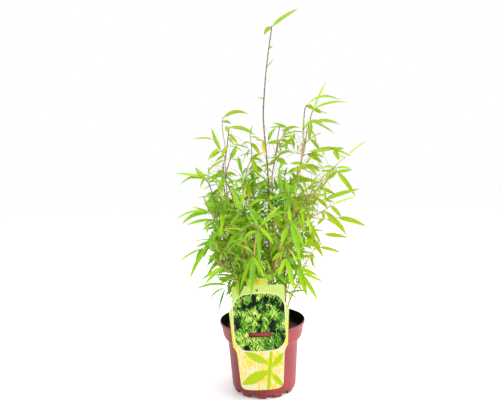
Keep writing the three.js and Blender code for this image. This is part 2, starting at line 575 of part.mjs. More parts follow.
// The card's right half, from the bottom up: a tapering foot with round corners, a wide middle, a
// straight top and a tab. The left half mirrors it.
function makeLabel() {
  const edge = new THREE.Path();
  edge.moveTo(0, cardBottom);
  edge.quadraticCurveTo(18, cardBottom, 27, cardBottom + 1.8);
  edge.quadraticCurveTo(cardFootHalf - 1, cardBottom + 3.5, cardFootHalf, cardBottom + 12);
  edge.lineTo(cardWaistHalf, 92);
  edge.quadraticCurveTo(cardWaistHalf + 1, 98, 47.5, 105);
  edge.lineTo(cardWideHalf, 161);
  edge.quadraticCurveTo(cardWideHalf + 0.5, 168, 48.5, 171.5);
  edge.quadraticCurveTo(cardTopHalf, 174, cardTopHalf, 179);
  edge.lineTo(cardTopHalf, cardTop - cardCorner);
  edge.quadraticCurveTo(cardTopHalf, cardTop, cardTopHalf - cardCorner, cardTop);
  edge.lineTo(tabHalf, cardTop);
  edge.lineTo(tabHalf, tabTop - cardCorner);
  edge.quadraticCurveTo(tabHalf, tabTop, tabHalf - cardCorner, tabTop);
  const right = edge.getPoints(3);
  const left = right.slice(1).reverse().map((p) => new THREE.Vector2(-p.x, p.y));
  const card = new THREE.Shape([...right, ...left]);
  card.holes.push(new THREE.Path([
    new THREE.Vector2(-slotHalf, slotLow),
    new THREE.Vector2(-slotHalf, slotHigh),
    new THREE.Vector2(slotHalf, slotHigh),
    new THREE.Vector2(slotHalf, slotLow),
  ]));
  const hole = new THREE.Path();
  hole.absarc(hangHole.x, hangHole.z, hangHole.radius, 0, 2 * Math.PI, true);
  card.holes.push(new THREE.Path(hole.getPoints(6)));
  const geometry = new THREE.ExtrudeGeometry(card, { depth: cardThickness, bevelEnabled: false });
  geometry.rotateX(Math.PI / 2);
  geometry.translate(0, 0, -slotHigh);
  geometry.rotateY(-THREE.MathUtils.degToRad(cardTilt));
  geometry.translate(cardMiddle, cardBack, slotHigh);
  return solidFromGeometry(geometry);
}

// A round bar along a line of points, its radius going evenly from the first to the last.
function taperedBar(points, startRadius, endRadius, sides) {
  const overall = points.at(-1).clone().sub(points[0]).normalize();
  const aside = new THREE.Vector3(Math.abs(overall.x) < 0.8 ? 1 : 0, Math.abs(overall.x) < 0.8 ? 0 : 1, 0);
  const positions = [];
  const faces = [];
  points.forEach((point, i) => {
    const before = points[Math.max(i - 1, 0)];
    const after = points[Math.min(i + 1, points.length - 1)];
    const along = after.clone().sub(before).normalize();
    const u = aside.clone().addScaledVector(along, -aside.dot(along)).normalize();
    const v = along.clone().cross(u);
    const radius = THREE.MathUtils.lerp(startRadius, endRadius, i / (points.length - 1));
    for (let k = 0; k < sides; k += 1) {
      const turn = 2 * Math.PI * k / sides;
      const p = point.clone().addScaledVector(u, radius * Math.cos(turn));
      p.addScaledVector(v, radius * Math.sin(turn));
      positions.push(p.x, p.y, p.z);
    }
  });
  for (let i = 0; i + 1 < points.length; i += 1) {
    for (let k = 0; k < sides; k += 1) {
      const a = i * sides + k;
      const b = i * sides + (k + 1) % sides;
      faces.push(a, b, a + sides, b, b + sides, a + sides);
    }
  }
  const last = (points.length - 1) * sides;
  for (let k = 1; k + 1 < sides; k += 1) {
    faces.push(0, k + 1, k);
    faces.push(last, last + k, last + k + 1);
  }
  return solidFromArrays(positions, faces);
}

// A leaf is a long three-edged wedge: its two rims and a keel under it, narrow at the root and
// pinched to a point at the tip. It arches upwards, and it is rolled until it shows the seen width.
function makeBlade(base, tip, seenWidth, arch) {
  const along = tip.clone().sub(base);
  const length = along.length();
  along.normalize();
  const sight = base.clone().add(tip).multiplyScalar(0.5).sub(eye).normalize();
  const across = along.clone().cross(sight).normalize();
  const reach = (base.y - eye.y) / -eye.y;
  const width = Math.min(Math.max(seenWidth * reach, bladeShare * length), widestBlade);
  const turn = Math.acos(Math.min(1, seenWidth * reach / width));
  const side = across.clone().multiplyScalar(Math.cos(turn));
  side.addScaledVector(along.clone().cross(across), Math.sin(turn));
  const face = side.clone().cross(along).normalize();
  if (face.z < 0) {
    face.negate();
    side.negate();
  }
  const rise = new THREE.Vector3(0, 0, 1).addScaledVector(along, -along.z);
  if (rise.length() < 0.3) rise.copy(across);
  rise.normalize().multiplyScalar(arch);
  const stations = [
    [0, rootHalf, rootHalf],
    [0.3, width / 2, bladeThickness],
    [0.68, 0.36 * width, bladeThickness],
  ];
  const positions = [];
  for (const [share, half, keel] of stations) {
    const middle = base.clone().lerp(tip, share).addScaledVector(rise, 4 * share * (1 - share));
    positions.push(...middle.clone().addScaledVector(side, half).toArray());
    positions.push(...middle.clone().addScaledVector(side, -half).toArray());
    positions.push(...middle.clone().addScaledVector(face, -keel).toArray());
  }
  positions.push(...tip.toArray());
  const faces = [0, 2, 1];
  for (const [a, b] of [[0, 1], [1, 2], [2, 0]]) {
    faces.push(a, b, a + 3, b, b + 3, a + 3);
    faces.push(a + 3, b + 3, a + 6, b + 3, b + 6, a + 6);
    faces.push(a + 6, b + 6, 9);
  }
  const blade = solidFromArrays(positions, faces);
  return blade.volume() > 0 ? blade : solidFromArrays(positions, faces.slice().reverse());
}

// The point at a share of the way along a line of points, kept a leaf's root short of its end.
function pointAlong(points, share) {
  const lengths = points.slice(1).map((p, i) => p.distanceTo(points[i]));
  const whole = lengths.reduce((sum, each) => sum + each, 0);
  let left = Math.min(share * whole, whole - leafRoot);
  for (let i = 0; i < lengths.length; i += 1) {
    if (left <= lengths[i]) return points[i].clone().lerp(points[i + 1], left / lengths[i]);
    left -= lengths[i];
  }
  return points.at(-1).clone();
}

// The last stretch of a line of points, of the given length.
function endOf(points, length) {
  const whole = points.slice(1).reduce((sum, p, i) => sum + p.distanceTo(points[i]), 0);
  const start = pointAlong(points, 1 - length / whole);
  let from = points.length - 1;
  let left = length;
  while (left > 0) {
    left -= points[from].distanceTo(points[from - 1]);
    from -= 1;
  }
  return [start, ...points.slice(from + 1)];
}

function nearestOn(points, target) {
  const found = points.slice(1).map((end, i) => {
    const spot = new THREE.Vector3();
    new THREE.Line3(points[i], end).closestPointToPoint(target, true, spot);
    return spot;
  });
  return found.reduce((best, spot) => (spot.distanceTo(target) < best.distanceTo(target) ? spot : best));
}

function addLeaves(solid, path, leaves) {
  return leaves.reduce((made, [share, x, z, width, back, arch]) => {
    const base = pointAlong(path, share);
    return made.add(makeBlade(base, seen(x, z, base.y + back), width, arch));
  }, solid);
}

// Each leaf of a spray turns further from the way its twig points, and hangs lower.
function addSpray(solid, path, { count, reach, droop }) {
  const heading = path.at(-1).clone().sub(path.at(-2));
  const outwards = Math.atan2(heading.y, heading.x);
  let made = solid;
  for (let i = 0; i < count; i += 1) {
    const base = pointAlong(path, 1 - sprayStep * i);
    const azimuth = outwards + THREE.MathUtils.degToRad((i % 2 ? -1 : 1) * (firstTurn + nextTurn * i));
    const level = reach * (1 - 0.06 * (i % 3));
    const sink = droop * (1 + i % 3) - sprayRise;
    const tip = new THREE.Vector3(level * Math.cos(azimuth), level * Math.sin(azimuth), -sink);
    made = made.add(makeBlade(base, tip.add(base), sprayWidth, sprayArch));
  }
  return made;
}

function addAllLeaves(solid, path, growth) {
  const leafy = addLeaves(solid, path, growth.leaves ?? []);
  return growth.spray ? addSpray(leafy, path, growth.spray) : leafy;
}

function stemPath(stem) {
  const [x, y] = stem.foot;
  const above = new THREE.Vector3(x, y, soilCrown + 3);
  const points = [above, ...stem.route.map((p) => seen(...p))];
  const curve = new THREE.CatmullRomCurve3(points, false, 'centripetal');
  return [new THREE.Vector3(x, y, soilCrown - stemDepth), ...curve.getSpacedPoints(stemSteps)];
}

// A twig starts beside its stem, at the nearest place that leaves the gap.
function twigPath(route, stemPoints, stemSolid) {
  const points = route.map((p) => seen(...p));
  const root = nearestOn(stemPoints, points[0]);
  const heading = points[1].clone().sub(root).normalize();
  for (let out = 0.6; out < 8; out += 0.1) {
    const path = [root.clone().addScaledVector(heading, out), ...points.slice(1)];
    const bar = taperedBar(path, twigRadius, twigRadius * twigTipShare, twigSides);
    if (bar.minGap(stemSolid, 2 * gap) >= gap) return path;
  }
  throw new Error('a twig has no free place beside its stem');
}

const colours = {
  pot: 0x9c4644,
  soil: 0x2b1d14,
  label: 0xcbe68a,
  stem: 0x6d5844,
  twig: 0x86b52c,
};

function addPiece(group, name, solid, finish) {
  const material = new THREE.MeshStandardMaterial({ color: colours[finish], roughness: 0.6, metalness: 0 });
  const mesh = new THREE.Mesh(geometryFromSolid(solid.simplify(finest)), material);
  mesh.name = name;
  group.add(mesh);
}

const solids = { pot: makePot(), label: makeLabel() };
const sockets = Object.values(stems).map(({ foot: [x, y], radius }) => {
  const low = new THREE.Vector3(x, y, soilCrown - stemDepth - gap);
  const high = new THREE.Vector3(x, y, soilCrown + 3);
  return taperedBar([low, high], radius + 2 * gap, radius + 2 * gap, stemSides);
});
solids.soil = makeSoil(sockets);

for (const [name, stem] of Object.entries(stems)) {
  const path = stemPath(stem);
  const bar = taperedBar(path, stem.radius, stem.radius * stemTipShare, stemSides);
  solids[name] = addAllLeaves(bar, endOf(path, leafyEnd), stem);
  for (const spur of stem.spurs ?? []) {
    const points = spur.route.map((p) => seen(...p));
    const spurPath = [nearestOn(path, points[0]), ...points.slice(1)];
    const spurBar = taperedBar(spurPath, twigRadius, twigRadius * twigTipShare, twigSides);
    solids[name] = addAllLeaves(solids[name].add(spurBar), spurPath, spur);
  }
  for (const [letter, twig] of Object.entries(stem.twigs ?? {})) {
    const ownPath = twigPath(twig.route, path, solids[name]);
    const twigBar = taperedBar(ownPath, twigRadius, twigRadius * twigTipShare, twigSides);
    solids[name.replace('stem', 'twig') + letter] = addAllLeaves(twigBar, ownPath, twig);
  }
}

const plant = new THREE.Group();
for (const [name, solid] of Object.entries(solids)) {
  addPiece(plant, name, solid, name.replace(/_.*/, ''));
}

export default plant;
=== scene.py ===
import math
import random
import bmesh
import bpy
from mathutils import Matrix, Vector, geometry, noise


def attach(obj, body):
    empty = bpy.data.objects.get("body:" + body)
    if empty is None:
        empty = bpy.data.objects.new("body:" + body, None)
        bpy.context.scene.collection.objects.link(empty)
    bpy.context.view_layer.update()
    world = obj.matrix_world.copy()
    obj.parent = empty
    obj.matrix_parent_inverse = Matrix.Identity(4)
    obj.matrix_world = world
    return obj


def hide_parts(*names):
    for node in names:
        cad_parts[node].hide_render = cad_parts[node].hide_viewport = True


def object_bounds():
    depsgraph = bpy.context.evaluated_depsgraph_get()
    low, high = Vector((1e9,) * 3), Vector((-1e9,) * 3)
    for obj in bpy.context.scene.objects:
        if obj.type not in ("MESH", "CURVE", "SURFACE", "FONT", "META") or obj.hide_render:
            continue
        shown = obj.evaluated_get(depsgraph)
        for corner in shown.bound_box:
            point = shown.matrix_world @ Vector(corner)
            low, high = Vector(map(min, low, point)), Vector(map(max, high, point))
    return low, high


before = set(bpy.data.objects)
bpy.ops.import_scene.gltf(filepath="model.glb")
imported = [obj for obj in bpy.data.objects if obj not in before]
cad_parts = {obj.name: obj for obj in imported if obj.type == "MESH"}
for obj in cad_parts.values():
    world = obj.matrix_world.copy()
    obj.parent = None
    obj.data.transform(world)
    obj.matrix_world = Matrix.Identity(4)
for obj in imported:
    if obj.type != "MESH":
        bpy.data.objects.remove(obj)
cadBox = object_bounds()
mm = 0.001

# The eye point of the photograph, in millimetres from the middle of the pot's foot.
photoView = dict(
    eye=Vector((-16, -813, 382.5)),
    roll=0.0304,
    sensor=36,  # mm wide
    lens=30.36,  # mm
    rise=-0.028,  # shift, in picture widths
)


def makeCamera(view):
    lens = bpy.data.cameras.new("photoCamera")
    lens.lens = view["lens"]
    lens.sensor_width = view["sensor"]
    lens.shift_y = view["rise"]
    camera = bpy.data.objects.new("photoCamera", lens)
    camera.location = view["eye"] * mm
    camera.rotation_euler = (math.pi / 2, view["roll"], 0)
    bpy.context.collection.objects.link(camera)
    bpy.context.scene.camera = camera


makeCamera(photoView)
print("camera placed")


# Expressions on node sockets: a Wire is one output, a Board is the tree that it is on.
def operator(operation, swapped=False):
    def apply(wire, other):
        return wire.board.calc(operation, *((other, wire) if swapped else (wire, other)))
    return apply


class Wire:
    __add__, __radd__ = operator("ADD"), operator("ADD", True)
    __sub__, __rsub__ = operator("SUBTRACT"), operator("SUBTRACT", True)
    __mul__, __rmul__ = operator("MULTIPLY"), operator("MULTIPLY", True)
    __gt__, __lt__ = operator("GREATER_THAN"), operator("LESS_THAN")
    __truediv__ = operator("DIVIDE")

    def __init__(self, board, socket):
        self.board = board
        self.socket = socket

    def out(self, name):  # another output of the same node
        return Wire(self.board, self.socket.node.outputs[name])


def isVector(value):
    if isinstance(value, Wire):
        return value.socket.type == "VECTOR"
    return isinstance(value, (tuple, Vector))


class Board:
    def __init__(self, tree):
        self.tree = tree

    def add(self, kind, sockets=(), out=0, **settings):  # sockets by name, or the first ones in order
        node = self.tree.nodes.new(kind)
        for name, value in settings.items():
            setattr(node, name, value)
        for name, value in sockets.items() if isinstance(sockets, dict) else enumerate(sockets):
            if isinstance(value, Wire):
                self.tree.links.new(value.socket, node.inputs[name])
            else:
                node.inputs[name].default_value = value
        return Wire(self, node.outputs[out]) if node.outputs else None

    def calc(self, operation, *values):
        vectors = [isVector(value) for value in values]
        if not any(vectors):
            return self.add("ShaderNodeMath", values, operation=operation)
        if operation == "MULTIPLY" and not all(vectors):
            vector, number = values if vectors[0] else values[::-1]
            return self.add("ShaderNodeVectorMath", {0: vector, 3: number}, operation="SCALE")
        return self.add("ShaderNodeVectorMath", values, operation=operation)

    def size(self, value):  # of a number or a vector
        if isVector(value):
            return self.add("ShaderNodeVectorMath", [value], "Value", operation="LENGTH")
        return self.calc("ABSOLUTE", value)

    def step(self, value, low, high):  # 0 up to low, 1 from high, smooth between them
        sockets = {"Value": value, "From Min": low, "From Max": high}
        return self.add("ShaderNodeMapRange", sockets, interpolation_type="SMOOTHSTEP")

    def mix(self, first, second, share):
        sockets = {0: share, 6: asColour(first), 7: asColour(second)}
        return self.add("ShaderNodeMix", sockets, 2, data_type="RGBA")

    def paint(self, look, colour, *layers):  # lays a look's colours, or Wires, over its first one
        colour = look.get(colour, colour)
        for layer, share in layers:
            colour = self.mix(colour, look.get(layer, layer), share)
        return colour

    def noise(self, place, scale, detail=2, roughness=0.5):
        sockets = {"Vector": place, "Scale": scale, "Detail": detail, "Roughness": roughness}
        return self.add("ShaderNodeTexNoise", sockets)

    def streaks(self, place, stretch, scale):
        stretched = self.add("ShaderNodeMapping", {"Vector": place, "Scale": stretch})
        return self.noise(stretched, scale, 3)

    def bump(self, height, distance, strength):
        return self.add("ShaderNodeBump", {"Height": height, "Distance": distance, "Strength": strength})

    def attribute(self, name):
        return self.add("ShaderNodeAttribute", out="Fac", attribute_name=name)

    def named(self, name, kind):  # a mesh attribute in a Geometry Nodes tree
        return self.add("GeometryNodeInputNamedAttribute", {"Name": name}, data_type=kind)

    def place(self):
        return self.add("ShaderNodeTexCoord", out="Object")

    def parts(self, vector):
        split = self.add("ShaderNodeSeparateXYZ", [vector])
        return split, split.out("Y"), split.out("Z")


def asColour(value):
    return (*value, 1) if isinstance(value, tuple) else value


def screenColours(**texts):  # as the linear values that a shader takes
    colours = {}
    for name, text in texts.items():
        channels = [int(text[i:i + 2], 16) / 255 for i in (0, 2, 4)]
        colours[name] = tuple(c / 12.92 if c < 0.04 else ((c + 0.055) / 1.055) ** 2.4 for c in channels)
    return colours


def newMaterial(name):
    material = bpy.data.materials.new(name)
    material.use_nodes = True
    material.node_tree.nodes.clear()
    return material, Board(material.node_tree)


def coat(board, colour, rough, normal, specular=0.5):
    return board.add("ShaderNodeBsdfPrincipled", {
        "Base Color": colour, "Roughness": rough, "Specular IOR Level": specular, "Normal": normal})


def endMaterial(board, surface):
    board.add("ShaderNodeOutputMaterial", {"Surface": surface})


def makeObject(name, data):
    piece = bpy.data.objects.new(name, data)
    bpy.context.collection.objects.link(piece)
    return piece


def meshFrom(name, points, faces, smooth=True):
    mesh = bpy.data.meshes.new(name)
    mesh.from_pydata([tuple(Vector(p) * mm) for p in points], [], faces)
    mesh.polygons.foreach_set("use_smooth", [smooth] * len(mesh.polygons))
    mesh.update()
    return mesh


def settle(piece):  # applies a piece's modifiers, and leaves a plain mesh
    graph = bpy.context.evaluated_depsgraph_get()
    made = bpy.data.meshes.new_from_object(
        piece.evaluated_get(graph), preserve_all_data_layers=True, depsgraph=graph)
    piece.modifiers.clear()
    piece.data = made


def newTree(name, inputs):  # a Geometry Nodes tree with named inputs
    tree = bpy.data.node_groups.new(name, "GeometryNodeTree")
    sockets = tree.interface
    for way in ("INPUT", "OUTPUT"):
        sockets.new_socket("Geometry", in_out=way, socket_type="NodeSocketGeometry")
    for label, kind in inputs.items():
        sockets.new_socket(label, in_out="INPUT", socket_type="NodeSocket" + kind)
    board = Board(tree)
    return board, board.add("NodeGroupInput", out="Geometry")


def endTree(board, shape, material, smooth=True):
    if smooth:
        shape = board.add("GeometryNodeSetShadeSmooth", {"Geometry": shape})
    real = board.add("GeometryNodeRealizeInstances", {"Geometry": shape})
    painted = board.add("GeometryNodeSetMaterial", {"Geometry": real, "Material": material})
    board.add("NodeGroupOutput", {"Geometry": painted})
    return board.tree


def runTree(piece, tree, values, spent=()):  # spent: attributes that nothing needs any longer
    modifier = piece.modifiers.new(tree.name, "NODES")
    modifier.node_group = tree
    for item in tree.interface.items_tree:
        if item.in_out == "INPUT" and item.name in values:
            modifier[item.identifier] = values[item.name]
    settle(piece)
    for name in spent:
        piece.data.attributes.remove(piece.data.attributes[name])


def storeAttributes(mesh, columns):
    for name, values in columns.items():
        vector = isVector(values[0])
        attribute = mesh.attributes.new(name, "FLOAT_VECTOR" if vector else "FLOAT", "POINT")
        flat = [part for value in values for part in value] if vector else values
        attribute.data.foreach_set("vector" if vector else "value", flat)


# How the plant grew. Millimetres, and read in the photograph: x and z are where a point is seen on
# the upright plane through the pot's axis, and y is how far behind that plane it really is.
# A cane stands in the soil at its foot, [x, y], and pale says how light its bark is. Its spurs are
# short branches of its own solid, and its twigs are longer ones, which are nodes of their own.
# A leaf is [how far along its twig, tip x, tip z, width, how much further back its tip is, arch], and
# some have an age: 0.01 is surely green, about 1 is yellow and more is dry. Or -1, for a dark leaf.
# A stray leaf grows straight from the cane, and its row starts with its height there.
# A spray is leaves to both sides of a twig's end: [how many, how far they reach, droop].
# Tufts are short leafy twigs all round a cane: [lowest, highest, how many]. High ones come on top.
canes = dict(
    stem_01=dict(
        foot=[12, 2], radius=1.7, tufts=[190, 350, 18],
        route=[[13.5, 150, 2], [14, 200, 2], [16, 240, 0], [18, 290, -2], [19.5, 345, -3],
            [19.5, 395, -3], [17.6, 440, 0], [14.4, 490, 0], [13.7, 520, 0], [17, 560, 0], [21.3, 600, 0],
            [27.2, 640, 0], [34.2, 682, 0], [35, 689, 0]],
        leaves=[[1, 88, 721.5, 6.5, -10, 2.5], [0.95, 20, 672.5, 8, -8, 3]],
        strays=[[648, 36.5, 651, 3, -4, 1], [608, 39, 627, 2.5, -4, 0], [548, 3, 553, 2.5, -3, 0]],
        spurs=[
            dict(route=[[19.5, 400, -3], [12, 410, 18], [6, 414, 28]], spray=[4, 40, 6]),
            dict(route=[[16.2, 468, 0], [11, 470, -5]],
                leaves=[[0.9, -3, 471, 3.5, -4, 0.5, 1.3], [1, 13, 440, 6.5, -10, 1.5, 0.8]]),
            dict(route=[[16.8, 458, 0], [21, 465, 4], [22, 469, 5]],
                leaves=[[1, 38, 493.5, 6.5, -6, 3], [0.6, 46, 471, 5.5, -10, -1]])],
        twigs=dict(
            a=dict(route=[[19.5, 350, -3], [18, 355, -22], [16, 354, -40]],
                leaves=[[1, 56, 364.5, 7, -10, 1.5], [1, -24, 330, 6, -8, 10], [0.8, 34, 316, 6, 4, 1]]),
            b=dict(route=[[18, 300, -2], [10, 312, -30], [0, 318, -46]],
                leaves=[[1, -58, 304, 7, -10, 8], [1, -30, 352, 7, 4, 1], [0.5, -12, 282, 8, -8, 1],
                    [0.7, 30, 300, 8, -6, 3]]))),
    stem_02=dict(
        foot=[-22, 14], radius=1.2, pale=0.55, tufts=[190, 350, 10], high=[395, 430, 1],
        route=[[-30, 170, 18], [-42, 240, 24], [-54, 310, 28], [-61, 370, 30], [-62, 420, 30],
            [-61, 450, 30], [-62.5, 468, 30], [-65.3, 490, 30], [-65.8, 507, 30], [-64, 516.5, 30]],
        leaves=[[0.7, -48, 504, 5.5, -6, 2], [1, -14, 520.5, 7, -12, 9]],
        spurs=[
            dict(route=[[-62, 395, 30], [-64, 404, 46], [-66, 408, 54]], spray=[5, 40, 7]),
            dict(route=[[-59, 345, 28], [-68, 360, 44], [-76, 366, 54]], spray=[4, 40, 7])],
        twigs=dict(
            a=dict(route=[[-50, 285, 26], [-60, 296, 34], [-72, 304, 40]],
                leaves=[[1, -112, 302, 5, -6, 1.5], [1, -95, 322, 6, 8, 1], [0.6, -85, 280, 6, 8, 1.5],
                    [0.5, -62, 330, 6, 6, 1]]))),
    stem_03=dict(
        foot=[-16, 4], radius=1.6, pale=0.2, tufts=[185, 340, 14], high=[400, 440, 1],
        route=[[-26, 170, 4], [-37, 222, 2], [-46, 270, 0], [-54, 310, -2], [-61, 345, -2],
            [-65, 374, -2], [-68, 400, -2], [-66.5, 417, -2], [-64, 432, -2], [-61, 444, -2],
            [-58, 460, -2], [-55, 482, -2], [-52, 498, -4]],
        leaves=[[1, -3, 479, 7.5, -10, 6], [0.55, -36, 461, 6.5, -8, 1.5, 0.72],
            [0.7, -59, 500, 8, -6, -1], [0.3, -44, 463.5, 4.5, 6, 0.5]],
        spurs=[
            dict(route=[[-59, 455, -2], [-56, 462, -7]],
                leaves=[[1, -70, 438.5, 7.5, -8, 1.5], [0.7, -27, 446, 2.5, 12, 5]]),
            dict(route=[[-66.8, 415, -2], [-64, 410, -8], [-65, 400, -12]],
                leaves=[[0.15, -70.5, 396, 5, -2, 0], [1, -78, 368, 10, -12, 1],
                    [0.9, -47, 378.5, 4.5, -14, 6], [0.6, -49, 400, 3.5, -6, 1.5, 0.75]])],
        twigs=dict(
            a=dict(route=[[-62, 438, -2], [-66, 446, -6], [-70, 453, -8], [-72.5, 458, -9],
                [-78, 466, -10], [-84, 475, -12]],
                leaves=[[0.45, -87, 496.5, 7.5, -8, -1.5, 0.01], [0.5, -95.5, 434, 6.5, -8, 2.5],
                    [0.38, -90.5, 437, 4, 10, 1], [0.12, -82, 431, 4.5, -6, 1],
                    [1, -123.5, 476, 3.5, -8, 2.5]]),
            b=dict(route=[[-65.5, 376, -2], [-75, 381, 2], [-82, 391, 4], [-89, 401, 4]],
                leaves=[[1, -111, 379, 5.5, -6, 9], [1, -122, 408.5, 3.5, 8, 2.5],
                    [0.55, -108, 376, 3, -10, 2.5], [0.3, -96, 360, 4.5, -12, 1]]),
            c=dict(route=[[-60, 340, -2], [-66, 346, -20], [-72, 350, -34]],
                leaves=[[1, -99, 341, 7, -8, 2.5], [1, -84, 325, 8, -10, 1.5],
                    [0.7, -52, 362, 7, -6, 1.5], [0.6, -78, 368, 6, 8, 1], [0.8, -60, 322, 7, -4, 1]]),
            d=dict(route=[[-46, 268, 0], [-52, 278, -12], [-58, 286, -20]],
                leaves=[[1, -67, 244, 8, -3, 1.5], [1, -88, 262, 7, -6, 2.5], [0.7, -42, 262, 8, -10, 1],
                    [0.6, -60, 306, 6, 4, 1]]))),
    stem_04=dict(
        foot=[-12, -6], radius=1.5, tufts=[180, 345, 16],
        route=[[-17, 150, -8], [-24, 200, -12], [-34, 262, -16], [-42, 300, -18], [-45.5, 330, -20],
            [-50, 360, -20], [-57, 382, -20], [-62.5, 398, -18], [-60, 412, -16], [-56, 426, -14],
            [-52, 438, -12]],
        leaves=[[1, -38.5, 463.5, 9, -6, -1, -1], [0.9, -31, 426, 2.5, 10, 3]],
        twigs=dict(
            a=dict(route=[[-52, 366, -20], [-47, 380, -28], [-43, 393, -32]],
                leaves=[[1, -40, 374, 5, -8, 1], [1, -23, 383, 5.5, -6, 5], [0.95, -25, 407, 3.5, 8, -2],
                    [0.5, -61, 384, 5, -4, 1]]),
            b=dict(route=[[-43, 308, -18], [-40, 322, -44], [-37, 336, -62]],
                leaves=[[1, -51, 376, 10, -8, 1], [1, -22, 386, 7, -6, 1, 0.75],
                    [0.6, -72, 322, 9, -10, 2.5], [0.8, -58, 305, 7, -8, 1.5],
                    [0.5, -24, 300, 8, -12, 1.5]]),
            c=dict(route=[[-34, 258, -16], [-38, 280, -56], [-45, 292, -80]],
                leaves=[[1, -67, 261, 8, -10, 1], [0.9, -20, 306, 8, -4, 3], [0.7, -47, 232, 9, -10, 1],
                    [0.8, -72, 300, 7, -2, 2.5]]))),
    stem_05=dict(
        foot=[-27, -2], radius=1.5, tufts=[175, 325, 18], high=[305, 372, 10],
        route=[[-33, 170, -10], [-44, 222, -16], [-56, 262, -22], [-70, 305, -26], [-80, 335, -28],
            [-86, 360, -30], [-90, 373, -30], [-96, 391, -30], [-103, 401, -33]],
        leaves=[[1, -121, 422.5, 9, -6, -1], [1, -162, 411.5, 4, -12, 1.5],
            [0.95, -128, 400.5, 3.5, 12, 1], [1, -152, 386, 4.5, -8, 9], [0.75, -72, 393, 3, -14, -1]],
        spurs=[
            dict(route=[[-86, 358, -30], [-90, 364, -36], [-92, 371, -38]],
                leaves=[[1, -96, 359, 4.5, -6, 1], [0.5, -119, 363, 2.5, 8, 1],
                    [0.3, -70, 372, 4, -8, 1.5]])],
        twigs=dict(
            a=dict(route=[[-80, 335, -28], [-88, 333, -34], [-97, 333, -38]],
                leaves=[[1, -162, 321, 5.5, -12, 8], [1, -151, 311, 8, -6, 8], [1, -131, 346, 4.5, 10, 1],
                    [0.7, -107, 367, 5, 8, -1], [0.4, -106, 352, 6, -10, 1]]),
            b=dict(route=[[-73, 313, -27], [-84, 317, -36], [-97, 320, -42]],
                leaves=[[1, -141, 310, 6, -8, 2.5], [1, -106, 309, 5.5, -4, 0],
                    [0.7, -122, 318, 5, 8, 1.5], [0.5, -110, 301, 5, -10, 1]]),
            c=dict(route=[[-56, 262, -22], [-66, 272, -40], [-76, 278, -52]],
                leaves=[[1, -134, 278, 2.5, 10, 3], [0.8, -100, 290, 6, -8, 1.5],
                    [0.6, -80, 255, 7, -8, 1], [1, -88, 305, 6, 4, 1]]))),
    stem_06=dict(
        foot=[-8, 10], radius=1.4, pale=0.5, tufts=[180, 345, 14], high=[405, 455, 2],
        route=[[-13, 160, 20], [-20, 220, 30], [-27, 280, 36], [-31, 330, 38], [-31, 355, 38],
            [-29.4, 378, 38], [-26.5, 394, 38], [-22.4, 407, 38], [-19, 420, 38], [-13.4, 432, 38],
            [-10.5, 447, 38], [-11.5, 464, 38], [-13, 480, 38]],
        leaves=[[0.45, -30, 458, 3.5, -8, 6], [0.5, 6, 438, 7.5, -10, 2.5, 0.78], [1, -8, 500, 3, 8, 1],
            [0.9, 8, 470, 3, 10, 2.5]],
        spurs=[
            dict(route=[[-31, 345, 38], [-33, 355, 60], [-35, 359, 74]], spray=[5, 48, 8]),
            dict(route=[[-13.4, 432, 38], [-12, 438, 30]],
                leaves=[[1, 2, 394, 9, -14, 1.5, 0.68], [0.8, 9, 431, 6, -4, 1.5],
                    [0.6, 12, 446, 5, 8, 1.5, -1]])],
        twigs=dict(
            a=dict(route=[[-29.5, 378, 38], [-24, 384, 28], [-15, 393, 16]],
                leaves=[[1, -19, 352, 8, -18, 1], [1, -10, 360, 6, 8, 0.5], [0.7, 2, 378, 5, 8, 1.5],
                    [1, 6, 399, 5, 4, 1]]),
            b=dict(route=[[-28, 300, 36], [-20, 312, 26], [-10, 322, 20]],
                leaves=[[1, 12, 345, 8, -8, 2.5], [1, -2, 300, 8, -8, 1.5], [0.6, -40, 340, 8, 4, 1.5],
                    [0.5, -46, 300, 8, 6, 2.5], [0.8, 16, 322, 7, 6, 2.5]]))),
    stem_07=dict(
        foot=[20, 12], radius=1.4, tufts=[185, 360, 18], high=[400, 475, 4],
        route=[[22, 160, 22], [24.5, 220, 32], [26, 290, 38], [26.5, 350, 42], [27, 396, 42],
            [28.8, 411, 42], [33, 427, 42], [37, 447, 42], [40, 472, 42], [45, 497, 42]],
        spurs=[
            dict(route=[[26, 345, 42], [20, 356, 64], [16, 360, 76]], spray=[5, 48, 8])],
        twigs=dict(
            a=dict(route=[[37, 447, 42], [41, 459, 34], [45, 470, 28], [50, 477, 24]],
                leaves=[[0.75, 70, 458.5, 7, -8, 1.5], [1, 85, 491, 6.5, -10, 10],
                    [1, 97, 480.5, 3.5, 4, 6], [0.9, 75, 476, 3, -12, 1], [0.35, 59, 459, 5, -6, -1.5],
                    [0.7, 22, 462.5, 6, -4, 0]]),
            b=dict(route=[[30, 416, 42], [33, 428, 30], [37, 434, 24]],
                leaves=[[1, 56, 420, 10, -12, 3], [0.75, 75, 442, 5.5, -8, 11], [0.5, 4, 418, 5.5, -6, 1],
                    [0.8, 60, 421, 5, 8, 1.5]]),
            c=dict(route=[[27, 384, 42], [35, 374, 10], [45, 366, -16]],
                leaves=[[1, 42, 416, 12, -6, 1], [0.8, 58, 392, 8, -10, 1], [0.6, 30, 398, 6, 6, 1],
                    [0.5, 8, 384, 6, 4, 1.5], [1, 62, 340, 9, -8, 1.5]]),
            d=dict(route=[[26, 300, 38], [34, 312, 20], [42, 322, 6]],
                leaves=[[1, 60, 352, 9, -8, 1.5], [0.8, 24, 340, 8, 6, 1.5], [0.6, 64, 308, 8, -8, 2.5],
                    [1, 50, 290, 9, -12, 1]]))),
    stem_08=dict(
        foot=[35, -4], radius=1.7, pale=0.5, tufts=[190, 355, 18], high=[400, 450, 2],
        route=[[44, 150, -6], [46, 176, -8], [49, 200, -8], [55, 221, -8], [60, 241, -8], [62, 270, -8],
